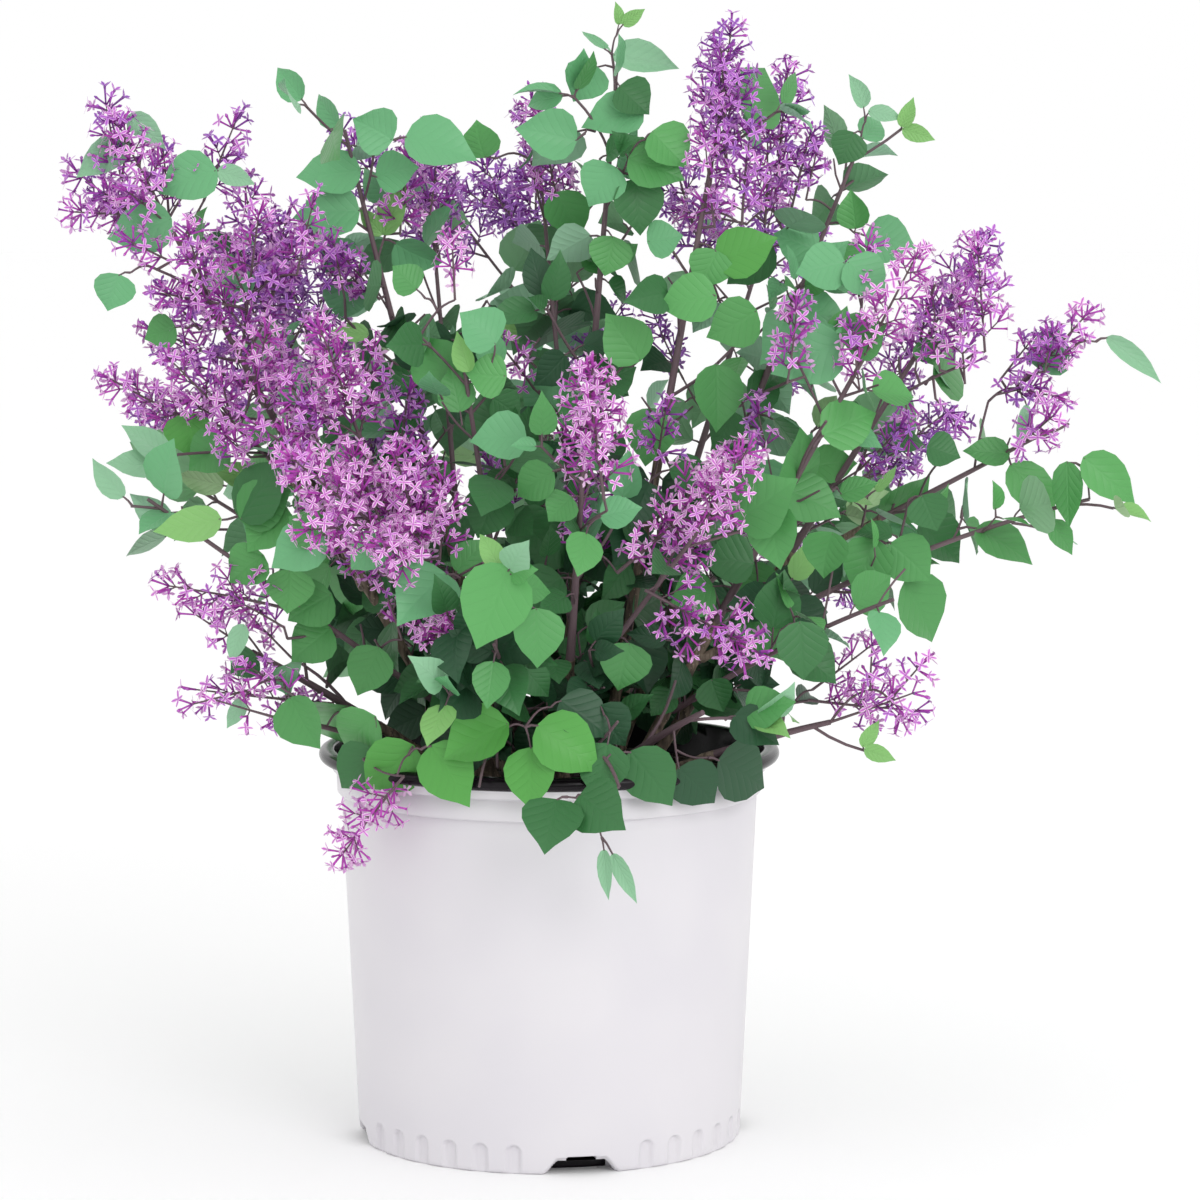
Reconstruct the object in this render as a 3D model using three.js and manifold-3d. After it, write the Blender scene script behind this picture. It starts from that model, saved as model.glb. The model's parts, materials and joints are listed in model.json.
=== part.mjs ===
// A lilac bush in flower, grown in a white nursery pot.
// Millimetres, +Z up. The origin is the centre of the pot's flat underside, and the bush's front faces -Y.
//
// The bush is a clump of shoots. Each shoot is one curve: its bare lower part is a limb, and its leafy upper
// part is a mass of twigs, leaves and flower heads that keeps to its own space.
import * as THREE from "three";
import { mergeVertices } from "three/addons/utils/BufferGeometryUtils.js";
import Module from "manifold-3d";

const wasm = await Module();
wasm.setup();

const UP = new THREE.Vector3(0, 0, 1);
const CLEAR = 0.3; // gap that touching pieces keep
const WELD = 1e-4; // vertices closer than this are one

// ---------------------------------------------------------------- driving sizes

const POT = {
  height: 240,
  sides: 36,
  footRadius: 117, // outside, at the ground
  wallTopRadius: 127, // outside, under the lower band
  wall: 3,
  lowerBand: { bottom: 213, radius: 129.5 },
  upperBand: { bottom: 226.5, radius: 132.5 },
  ledge: 1, // height over which each band stands out
  lip: { bottom: 233, radius: 140.5, crown: 136.5, inner: 131, round: 2 },
  floor: 3, // thickness of the flat bottom
  kerb: { radius: 94, height: 12, slope: 4 }, // solid ring round the floor that the drain mouths are cut into
  corner: 2.5,
};
const FLUTE = { pitchDeg: 10, width: 9.5, height: 18, depth: 1.8, archSteps: 3 };
const DRAIN = {
  count: 4,
  firstDeg: -80, // measured from +X, so the first one is just right of the front
  flutesReplaced: 3,
  bottomWidth: 44,
  topWidth: 31,
  height: 8,
  mouthRadius: 100,
  slot: { width: 18, bottom: 6.5, top: 10.5, shaftFrom: 101, shaftTo: 108 },
};
const SOIL_TOP = 222;

const LIMB = { sides: 6, stepLength: 48, tipRadius: 1.7, flare: 1.55, flareHeight: 12 };
const TWIG = {
  sides: 3,
  internode: 36,
  stepLength: 80,
  thinning: 0.45,
  tipRadius: 1.1,
  crowding: 0.4,
  sizesTried: [1, 0.75, 0.5],
};
const LEAF = {
  shortest: 58,
  longest: 80,
  youngShare: 0.66,
  widthShare: 0.68,
  widestAt: 0.5,
  keelAt: 0.36,
  keelDepth: 0.05,
  bend: 0.14,
  sizesTried: [1, 0.8, 0.62],
};
const PANICLE = { shortest: 66, longest: 100, slimness: 0.34, sides: 4, sizesTried: [1, 0.82, 0.66] };
// How things leave a stem, as shares of directions added up, and the ranges that chance picks from.
const HABIT = {
  firstNode: 0.7, // how far along its own stretch of stem a node sits
  nodeTurn: [-0.3, 0.3], // added to a quarter turn from node to node
  twig: { length: [0.8, 1.2], rise: [0.5, 0.9], out: 0.9, checkedAt: [0.3, 0.55, 0.8, 1] },
  leaf: { rise: 0.35, droop: [0.05, 0.75], away: 0.25, faceUp: 0.7, faceAway: 0.6, faceTilt: [-0.3, 0.3] },
  young: { out: 0.7, rise: 0.8, faceUp: 0.6, faceOut: -0.5 },
  headLift: 0.3,
};
const TIP_LENGTH = { flowering: 74, leafy: 34 }; // what the last flower head or young leaves add to a stem
const MARGIN = { cell: 1.2, limb: 4, lip: 9, wall: 6, soil: 2 };
const CROWN = { left: -298, right: 373, front: -232, back: 276, top: 690 }; // how far the whole bush reaches

// lean and bow: how far out and how far up a shoot's middle is drawn. lift: how strongly its twigs turn up.
const SHOOT_DEFAULTS = { lean: 0.5, bow: 0, lift: 0.35, caneRadius: 4.4, boughRadius: 2.7 };
// bare: the share of its length without foliage. bloom: the share of its twigs that flower. spread: how long
// they are.
const leafy = (bare, bloom, spread = 62) => ({ bare, bloom, spread });
// Where each shoot rises, where its tip is and how it carries its foliage.
// foot: x and y on the soil, for a cane. from and fork: the cane that a bough leaves, and how far up it.
// bearing, reach and height: its tip, in degrees anticlockwise from +X, mm from the pot's axis and mm up.
const SHOOTS = [
  { name: "far_left", foot: [-46, 4], bearing: 186, reach: 264, height: 628, ...leafy(0.5, 1, 54), bow: -12 },
  {
    name: "upper_left", from: "far_left", fork: 0.3, bearing: 163, reach: 196, height: 596,
    ...leafy(0.3, 0.9), lean: 0.85, bow: -30,
  },
  {
    name: "left_mid", from: "far_left", fork: 0.42, bearing: 198, reach: 250, height: 486,
    ...leafy(0.2, 1), bow: 10,
  },
  { name: "left_inner", foot: [-34, -26], bearing: 221, reach: 178, height: 506, ...leafy(0.4, 1) },
  {
    name: "front_left", from: "left_inner", fork: 0.26, bearing: 243, reach: 188, height: 436,
    ...leafy(0, 1),
  },
  {
    name: "left_shoot", from: "left_inner", fork: 0.14, bearing: 203, reach: 282, height: 420,
    ...leafy(0, 0, 34),
  },
  {
    name: "low_left", foot: [-58, -12], bearing: 200, reach: 250, height: 338,
    ...leafy(0.25, 0.75, 46), bow: 12,
  },
  {
    name: "low_left_front", from: "low_left", fork: 0.13, bearing: 210, reach: 252, height: 278,
    ...leafy(0, 0.7, 42), bow: 16,
  },
  {
    name: "rim_left", foot: [-46, -50], bearing: 221, reach: 176, height: 186,
    ...leafy(0.25, 0.6, 40), lean: 0.9, bow: 84, lift: -0.3,
  },
  {
    name: "tall_left", foot: [-24, 16], bearing: 176, reach: 132, height: 648,
    ...leafy(0.45, 0.1, 50), bow: -8,
  },
  {
    name: "back_mid_left", from: "tall_left", fork: 0.25, bearing: 130, reach: 122, height: 616,
    ...leafy(0, 0.8),
  },
  {
    name: "centre_back", from: "tall_centre", fork: 0.3, bearing: 98, reach: 78, height: 640,
    ...leafy(0, 0.6),
  },
  { name: "tall_centre", foot: [6, 10], bearing: 8, reach: 44, height: 676, ...leafy(0.4, 0.05, 50), bow: 4 },
  { name: "top_right", foot: [32, -8], bearing: 352, reach: 114, height: 680, ...leafy(0.45, 0.95) },
  {
    name: "right_tall", foot: [38, 20], bearing: 13, reach: 208, height: 636,
    ...leafy(0.4, 0.05, 58), bow: 6,
  },
  { name: "right_mid", foot: [48, -24], bearing: 339, reach: 238, height: 548, ...leafy(0.3, 0.9) },
  { name: "right_far", foot: [58, 4], bearing: 1, reach: 270, height: 556, ...leafy(0.42, 1), bow: -10 },
  {
    name: "right_outer", from: "right_far", fork: 0.4, bearing: 357, reach: 366, height: 468,
    ...leafy(0.25, 0.8, 52),
  },
  {
    name: "right_leafy", from: "right_mid", fork: 0.24, bearing: 352, reach: 358, height: 402,
    ...leafy(0.2, 0, 48), bow: 26,
  },
  {
    name: "right_low_leaf", from: "right_mid", fork: 0.14, bearing: 333, reach: 258, height: 352,
    ...leafy(0, 0, 56), bow: 14,
  },
  {
    name: "low_right", foot: [54, -46], bearing: 335, reach: 258, height: 280,
    ...leafy(0.25, 0.8, 42), bow: 16,
  },
  {
    name: "front_right", foot: [26, -52], bearing: 308, reach: 220, height: 300,
    ...leafy(0.1, 0.6, 46), bow: 18,
  },
  { name: "centre_front", foot: [8, -36], bearing: 279, reach: 164, height: 486, ...leafy(0.3, 0.9, 52) },
  {
    name: "centre_right", from: "centre_front", fork: 0.22, bearing: 307, reach: 206, height: 436,
    ...leafy(0, 0.6),
  },
  { name: "centre_leaf", foot: [-14, -24], bearing: 246, reach: 128, height: 508, ...leafy(0.2, 0) },
  {
    name: "centre_low", from: "centre_leaf", fork: 0.12, bearing: 261, reach: 204, height: 334,
    ...leafy(0, 0), bow: 12,
  },
  {
    name: "rim_centre", from: "centre_leaf", fork: 0.05, bearing: 256, reach: 176, height: 190,
    ...leafy(0, 0, 44), lean: 0.85, bow: 84, lift: -0.3,
  },
  {
    name: "rim_front", foot: [-8, -64], bearing: 287, reach: 180, height: 172,
    ...leafy(0.2, 0, 46), lean: 0.85, bow: 112, lift: -0.4,
  },
  { name: "back_left", foot: [-36, 36], bearing: 137, reach: 256, height: 556, ...leafy(0.38, 0.8, 70) },
  {
    name: "back_far_left", from: "back_left", fork: 0.24, bearing: 156, reach: 270, height: 402,
    ...leafy(0, 0.5),
  },
  { name: "back_centre", foot: [-4, 44], bearing: 93, reach: 226, height: 606, ...leafy(0.38, 0.7, 70) },
  { name: "back_right", foot: [32, 46], bearing: 53, reach: 252, height: 584, ...leafy(0.38, 0.8, 70) },
  {
    name: "back_far_right", from: "back_right", fork: 0.24, bearing: 29, reach: 296, height: 432,
    ...leafy(0, 0.6),
  },
  {
    name: "back_low_left", from: "back_left", fork: 0.1, bearing: 121, reach: 258, height: 326,
    ...leafy(0, 0.3), bow: 14,
  },
  {
    name: "back_low_right", from: "back_right", fork: 0.1, bearing: 66, reach: 258, height: 318,
    ...leafy(0, 0.3), bow: 14,
  },
  {
    name: "back_low", from: "back_centre", fork: 0.2, bearing: 91, reach: 270, height: 434,
    ...leafy(0, 0.4),
  },
];

const COLOURS = {
  potWhite: 0xf1f0f4,
  pottingMix: 0x2c2622,
  bark: 0x6d5c50,
  foliage: 0x3f8f43,
  blossom: 0xa24fae,
};

// ---------------------------------------------------------------- small tools

// A repeatable run of numbers from 0 to 1.
class Seeded {
  constructor(seed) {
    this.state = seed;
  }
  next() {
    this.state = (this.state * 48271) % 2147483647;
    return this.state / 2147483647;
  }
  between(low, high) {
    return low + (high - low) * this.next();
  }
}

const radians = THREE.MathUtils.degToRad;

function polar(bearingDeg, reach, height) {
  const angle = radians(bearingDeg);
  return new THREE.Vector3(reach * Math.cos(angle), reach * Math.sin(angle), height);
}

// A weighted sum of vectors: sum(a, 2, b, 3) is 2a + 3b.
function sum(...terms) {
  const total = new THREE.Vector3();
  for (let i = 0; i < terms.length; i += 2) total.addScaledVector(terms[i], terms[i + 1]);
  return total;
}

// Two directions across a given one.
function across(along) {
  const level = new THREE.Vector3().crossVectors(UP, along);
  const u = level.lengthSq() > 1e-4 ? level.normalize() : new THREE.Vector3(1, 0, 0);
  return [u, new THREE.Vector3().crossVectors(along, u).normalize()];
}

// The direction across a stem at an angle round it.
function outward(along, angle) {
  const [u, v] = across(along);
  return sum(u, Math.cos(angle), v, Math.sin(angle));
}

// A closed mesh as a solid: corners are merged and faces that closed up are dropped.
function toSolid(geometry) {
  const bare = geometry.index ? geometry.toNonIndexed() : geometry.clone();
  const only = new THREE.BufferGeometry().setAttribute("position", bare.getAttribute("position"));
  const merged = mergeVertices(only, WELD);
  const corners = merged.index.array;
  const kept = [];
  for (let i = 0; i < corners.length; i += 3) {
    const [a, b, c] = [corners[i], corners[i + 1], corners[i + 2]];
    if (a !== b && b !== c && a !== c) kept.push(a, b, c);
  }
  const vertProperties = merged.attributes.position.array;
  return new wasm.Manifold(new wasm.Mesh({ numProp: 3, vertProperties, triVerts: new Uint32Array(kept) }));
}

function toGeometry(solid) {
  const mesh = solid.getMesh();
  const geometry = new THREE.BufferGeometry()
    .setAttribute("position", new THREE.BufferAttribute(mesh.vertProperties, 3))
    .setIndex(new THREE.BufferAttribute(mesh.triVerts, 1));
  geometry.computeVertexNormals();
  return geometry;
}

// All the solids as one, without sealed hollows and loose scraps.
function fuse(solids) {
  const whole = wasm.Manifold.union(solids);
  return whole.decompose().reduce((a, b) => (b.volume() > a.volume() ? b : a));
}

function fromFaces(faces) {
  const positions = new THREE.Float32BufferAttribute(faces.flat().flatMap((point) => point.toArray()), 3);
  return new THREE.BufferGeometry().setAttribute("position", positions);
}

// A closed skin over rings of points, each ring running anticlockwise seen from the next one. tip is a point
// to close on, or null for a flat end.
function skin(rings, tip) {
  const faces = [];
  const first = rings[0];
  const last = rings[rings.length - 1];
  for (let j = 1; j < first.length - 1; j++) faces.push([first[0], first[j + 1], first[j]]);
  for (let i = 0; i < rings.length - 1; i++) {
    const [low, high] = [rings[i], rings[i + 1]];
    low.forEach((corner, j) => {
      const next = (j + 1) % low.length;
      faces.push([corner, low[next], high[next]], [corner, high[next], high[j]]);
    });
  }
  if (tip) last.forEach((corner, j) => faces.push([corner, last[(j + 1) % last.length], tip]));
  else for (let j = 1; j < last.length - 1; j++) faces.push([last[0], last[j], last[j + 1]]);
  return fromFaces(faces);
}

function ring(centre, u, v, radius, sides, turn = 0) {
  return Array.from({ length: sides }, (_, j) => {
    const angle = turn + (2 * Math.PI * j) / sides;
    return sum(centre, 1, u, radius * Math.cos(angle), v, radius * Math.sin(angle));
  });
}

// A tapering stem, turned no more than it has to be. cut is the normal of the plane that its foot lies in,
// and head is the flower head that it swells into, if it has one.
function stemGeometry({ points, ways, radii, cut = null, head = null }, sides) {
  const rings = [];
  let u = across(ways[0])[0];
  points.forEach((point, i) => {
    u = sum(u, 1, ways[i], -u.dot(ways[i])).normalize();
    const v = new THREE.Vector3().crossVectors(ways[i], u);
    rings.push(ring(point, u, v, radii[i], sides));
  });
  if (cut) {
    const slant = ways[0].dot(cut);
    rings[0].forEach((c) => c.addScaledVector(ways[0], -sum(c, 1, points[0], -1).dot(cut) / slant));
  }
  if (!head) return skin(rings, null);
  u = sum(u, 1, head.along, -u.dot(head.along)).normalize();
  return skin([...rings, ...head.tiers(u, sides)], head.tip);
}

function distanceToSegment(point, a, b) {
  const line = sum(b, 1, a, -1);
  const share = THREE.MathUtils.clamp(sum(point, 1, a, -1).dot(line) / line.lengthSq(), 0, 1);
  return sum(point, 1, a, -1, line, -share).length();
}

// ---------------------------------------------------------------- the pot and what fills it

// The pot's outline, as radius and height, from the middle of the underside round to the middle of the floor.
function potOutline() {
  const { lip, lowerBand, upperBand, kerb, wall, ledge } = POT;
  return [
    [0, 0],
    [POT.footRadius - POT.corner, 0],
    [POT.footRadius, POT.corner],
    [POT.wallTopRadius, lowerBand.bottom],
    [lowerBand.radius, lowerBand.bottom + ledge],
    [lowerBand.radius + ledge / 2, upperBand.bottom],
    [upperBand.radius, upperBand.bottom + ledge],
    [upperBand.radius, lip.bottom],
    [lip.radius - lip.round / 2, lip.bottom - lip.round / 2],
    [lip.radius, lip.bottom + lip.round],
    [(lip.radius + lip.crown) / 2, POT.height - lip.round / 2],
    [lip.crown, POT.height],
    [lip.inner + lip.round, POT.height - lip.round / 3],
    [lip.inner, lip.bottom + lip.round],
    [POT.wallTopRadius - wall, lowerBand.bottom],
    [innerRadius(kerb.height), kerb.height],
    [kerb.radius, kerb.height],
    [kerb.radius - kerb.slope, POT.floor],
    [0, POT.floor],
  ];
}

// The radius inside the wall, below the bands.
function innerRadius(height) {
  const share = height / POT.lowerBand.bottom;
  return POT.footRadius + (POT.wallTopRadius - POT.footRadius) * share - POT.wall;
}

// An outline turned round the pot's axis. Its flats face the flutes.
function turned(outline) {
  const profile = outline.map(([radius, height]) => new THREE.Vector2(radius, height));
  const geometry = new THREE.LatheGeometry(profile, POT.sides, Math.PI / POT.sides);
  geometry.rotateX(Math.PI / 2);
  return geometry;
}

// A flat outline in the wall's plane, made into a bar that runs outwards from one radius to another.
function radialBar(outline, fromRadius, toRadius, bearingDeg) {
  const shape = new THREE.Shape(outline.map(([x, y]) => new THREE.Vector2(x, y)));
  const bar = new THREE.ExtrudeGeometry(shape, { depth: toRadius - fromRadius, bevelEnabled: false });
  bar.rotateX(Math.PI / 2); // the outline stands up, and the bar runs along -Y
  bar.translate(0, -fromRadius, 0);
  bar.rotateZ(radians(bearingDeg + 90));
  return bar;
}

function fluteOutline() {
  const half = FLUTE.width / 2;
  const points = [
    [-half, -1],
    [half, -1],
  ];
  for (let i = 0; i <= FLUTE.archSteps; i++) {
    const angle = (Math.PI * i) / FLUTE.archSteps;
    points.push([half * Math.cos(angle), FLUTE.height - half + half * Math.sin(angle)]);
  }
  return points;
}

// A drain's mouth under the kerb, and the slot that runs from the wall in and up to the soil.
function drainCutters(bearing) {
  const { slot } = DRAIN;
  const past = POT.footRadius + 10;
  const mouth = [
    [-DRAIN.bottomWidth / 2 - 0.8, -1],
    [DRAIN.bottomWidth / 2 + 0.8, -1],
    [DRAIN.topWidth / 2, DRAIN.height],
    [-DRAIN.topWidth / 2, DRAIN.height],
  ];
  const box = (top) => [
    [-slot.width / 2, slot.bottom],
    [slot.width / 2, slot.bottom],
    [slot.width / 2, top],
    [-slot.width / 2, top],
  ];
  return [
    radialBar(mouth, DRAIN.mouthRadius, past, bearing),
    radialBar(box(slot.top), slot.shaftFrom, past, bearing),
    radialBar(box(POT.kerb.height + 2), slot.shaftFrom, slot.shaftTo, bearing),
  ];
}

function potGeometry() {
  const cutters = [];
  const step = 360 / DRAIN.count;
  const flutes = step / FLUTE.pitchDeg - DRAIN.flutesReplaced;
  const bottomOfFlute = POT.footRadius - FLUTE.depth;
  for (let d = 0; d < DRAIN.count; d++) {
    const bearing = DRAIN.firstDeg + d * step;
    cutters.push(...drainCutters(bearing));
    for (let f = 1; f <= flutes; f++) {
      const at = bearing + (f + (DRAIN.flutesReplaced - 1) / 2) * FLUTE.pitchDeg;
      cutters.push(radialBar(fluteOutline(), bottomOfFlute, bottomOfFlute + 8, at));
    }
  }
  const shell = toSolid(turned(potOutline()));
  return toGeometry(shell.subtract(wasm.Manifold.union(cutters.map(toSolid))));
}

function soilGeometry() {
  const { kerb, lowerBand, floor } = POT;
  const lift = CLEAR * 1.2;
  const gap = CLEAR * 1.5;
  const outline = [
    [0, floor + lift],
    [kerb.radius - kerb.slope - gap, floor + lift],
    [kerb.radius - gap, kerb.height + lift],
    [innerRadius(kerb.height) - gap, kerb.height + lift],
    [innerRadius(lowerBand.bottom) - gap, lowerBand.bottom],
    [innerRadius(lowerBand.bottom) + 0.8, SOIL_TOP],
    [0, SOIL_TOP],
  ];
  return toGeometry(toSolid(turned(outline)));
}

// ---------------------------------------------------------------- shoots

class Shoot {
  constructor(spec, index, parent) {
    Object.assign(this, SHOOT_DEFAULTS, spec);
    this.seed = 7919 * (index + 1);
    this.parent = parent;
    this.flowering = this.bloom > 0.5;
    this.tip = polar(this.bearing, this.reach, this.height);
    if (parent) this.leaveParent();
    else this.standOnSoil();
    const level = sum(this.tip, 1, this.start, -1).setZ(0);
    const rise = this.tip.z - this.start.z;
    const middle = sum(this.start, 1, level, this.lean, UP, rise / 2 + this.bow);
    this.curve = new THREE.QuadraticBezierCurve3(this.start, middle, this.tip);
    this.length = this.curve.getLength();
    this.stemEnd = 1 - (this.flowering ? TIP_LENGTH.flowering : TIP_LENGTH.leafy) / this.length;
  }
  standOnSoil() {
    this.start = new THREE.Vector3(...this.foot, SOIL_TOP + CLEAR);
    this.startRadius = this.caneRadius;
    this.cut = UP;
  }
  // A bough starts on the side of its cane, a hair clear of it.
  leaveParent() {
    const { parent, fork } = this;
    const at = parent.curve.getPoint(fork);
    const along = parent.curve.getTangent(fork);
    const way = sum(this.tip, 1, at, -1).setZ(0);
    this.cut = sum(way, 1, along, -way.dot(along)).normalize();
    this.start = sum(at, 1, this.cut, parent.radiusAt(fork) + CLEAR);
    this.startRadius = Math.min(this.boughRadius, parent.radiusAt(fork) * 0.8);
  }
  radiusAt(share) {
    return THREE.MathUtils.lerp(this.startRadius, LIMB.tipRadius, share);
  }
  // A stretch of the stem, given by its shares of the shoot's length.
  stretch(shares, cut) {
    return {
      points: shares.map((t) => this.curve.getPoint(t)),
      ways: shares.map((t) => this.curve.getTangent(t)),
      radii: shares.map((t) => this.radiusAt(t)),
      cut,
    };
  }
  limb() {
    const steps = Math.max(2, Math.round((this.length * this.bare) / LIMB.stepLength));
    const shares = Array.from({ length: steps + 1 }, (_, i) => (this.bare * i) / steps);
    if (!this.parent) shares.splice(1, 0, LIMB.flareHeight / this.length);
    const stem = this.stretch(shares, this.cut);
    if (!this.parent) stem.radii[0] *= LIMB.flare;
    return stem;
  }
  mainStem() {
    const from = this.bare > 0 ? this.bare + CLEAR / this.length : 0;
    const steps = Math.max(2, Math.round((this.length * (this.stemEnd - from)) / TWIG.stepLength));
    const shares = Array.from({ length: steps + 1 }, (_, i) => from + ((this.stemEnd - from) * i) / steps);
    return this.stretch(shares, this.bare > 0 ? null : this.cut);
  }
}

// The middle of a stem at one share of its length, and the way it runs there.
function placeOn({ points }, share) {
  const steps = points.length - 1;
  const i = Math.min(Math.floor(share * steps), steps - 1);
  return {
    at: new THREE.Vector3().lerpVectors(points[i], points[i + 1], share * steps - i),
    along: sum(points[i + 1], 1, points[i], -1).normalize(),
  };
}

function makeShoots() {
  const made = new Map();
  const make = (spec) => {
    if (made.has(spec.name)) return made.get(spec.name);
    const parent = spec.from ? make(SHOOTS.find((s) => s.name === spec.from)) : null;
    made.set(spec.name, new Shoot(spec, SHOOTS.indexOf(spec), parent));
    return made.get(spec.name);
  };
  return SHOOTS.map(make);
}

// ---------------------------------------------------------------- the space that each mass keeps to

class Room {
  constructor(shoots) {
    this.axes = new Map(shoots.map((s) => [s, [...s.mainStem().points, s.tip]]));
    this.limbs = shoots.filter((s) => s.bare > 0).map((s) => s.limb());
  }
  distanceToAxis(point, shoot) {
    const points = this.axes.get(shoot);
    return Math.min(...points.slice(1).map((b, i) => distanceToSegment(point, points[i], b)));
  }
  // Whether a point is nearer to its own shoot than to any other.
  inCell(point, shoot) {
    const own = this.distanceToAxis(point, shoot) + 2 * MARGIN.cell;
    return [...this.axes.keys()].every((s) => s === shoot || this.distanceToAxis(point, s) > own);
  }
  clearOfLimbs(point, spare) {
    return this.limbs.every(({ points, radii }) =>
      points.slice(1).every((b, i) => distanceToSegment(point, points[i], b) > radii[i] + spare),
    );
  }
  clearOfPot(point) {
    const { lip } = POT;
    const radius = Math.hypot(point.x, point.y);
    const toLip = Math.hypot(radius - (lip.inner + lip.radius) / 2, point.z - (POT.height + lip.bottom) / 2);
    if (toLip < MARGIN.lip) return false;
    if (point.z > POT.height) return true;
    if (radius > lip.crown) return radius > POT.upperBand.radius + MARGIN.wall;
    return radius < innerRadius(POT.lowerBand.bottom) - MARGIN.wall && point.z > SOIL_TOP + MARGIN.soil;
  }
  inCrown({ x, y, z }) {
    return x > CROWN.left && x < CROWN.right && y > CROWN.front && y < CROWN.back && z < CROWN.top;
  }
  holds(points, shoot, spare) {
    return points.every(
      (p) => this.inCrown(p) && this.clearOfPot(p) && this.clearOfLimbs(p, spare) && this.inCell(p, shoot),
    );
  }
}

// ---------------------------------------------------------------- leaves and flower heads

// A leaf is a lozenge that bends down past its widest part, with a keel under it.
class Leaf {
  constructor(root, direction, facing, length) {
    this.root = root;
    this.along = direction.clone().normalize();
    this.face = sum(facing, 1, this.along, -facing.dot(this.along)).normalize();
    this.side = new THREE.Vector3().crossVectors(this.along, this.face);
    this.length = length;
  }
  // A point on the blade: share is along it, and half from -1 to 1 across it.
  at(share, half) {
    const past = Math.max(0, share - LEAF.widestAt) / (1 - LEAF.widestAt);
    const wide = share < LEAF.widestAt ? share / LEAF.widestAt : 1 - past;
    const sideways = (this.length * LEAF.widthShare * wide * half) / 2;
    const drop = this.length * LEAF.bend * past;
    return sum(this.root, 1, this.along, this.length * share, this.side, sideways, this.face, -drop);
  }
  samples() {
    const shares = [0.14, 0.32, 0.5, 0.66, 0.82, 1];
    return shares.flatMap((share) => [-1, -0.5, 0, 0.5, 1].map((half) => this.at(share, half)));
  }
  geometry() {
    const tip = this.at(1, 0);
    const [left, right] = [this.at(LEAF.widestAt, -1), this.at(LEAF.widestAt, 1)];
    const keel = sum(this.at(LEAF.keelAt, 0), 1, this.face, -this.length * LEAF.keelDepth);
    const upper = [
      [this.root, right, left],
      [tip, left, right],
    ];
    const lower = [
      [right, this.root, keel],
      [this.root, left, keel],
      [left, tip, keel],
      [tip, right, keel],
    ];
    return fromFaces([...upper, ...lower]);
  }
}

// A flower head is a cone whose tiers stand out from its stalk in points.
class Panicle {
  // Share of the length, and of the greatest radius, of each tier from the stalk upwards.
  static outline = [
    [0.2, 1],
    [0.45, 0.5],
    [0.62, 0.74],
  ];
  constructor(root, direction, length) {
    this.root = root;
    this.along = direction.clone().normalize();
    this.length = length;
    this.radius = length * PANICLE.slimness;
    this.tip = sum(root, 1, this.along, length);
  }
  ringAt(share, width, u, sides, turn) {
    const v = new THREE.Vector3().crossVectors(this.along, u);
    return ring(sum(this.root, 1, this.along, this.length * share), u, v, this.radius * width, sides, turn);
  }
  // Points on its tiers and halfway between them.
  samples() {
    const tiers = [[0, 0], ...Panicle.outline, [1, 0]];
    const halfway = tiers.slice(1).map((tier, i) => tier.map((value, j) => (value + tiers[i][j]) / 2));
    const [u] = across(this.along);
    return [...tiers.slice(1), ...halfway].flatMap(([share, width]) => this.ringAt(share, width, u, 8, 0));
  }
  // Each tier is turned half a side on from the one below.
  tiers(u, sides) {
    const turn = Math.PI / sides;
    return Panicle.outline.map(([share, width], i) => this.ringAt(share, width, u, sides, (i + 1) * turn));
  }
}

// ---------------------------------------------------------------- growth

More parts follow.
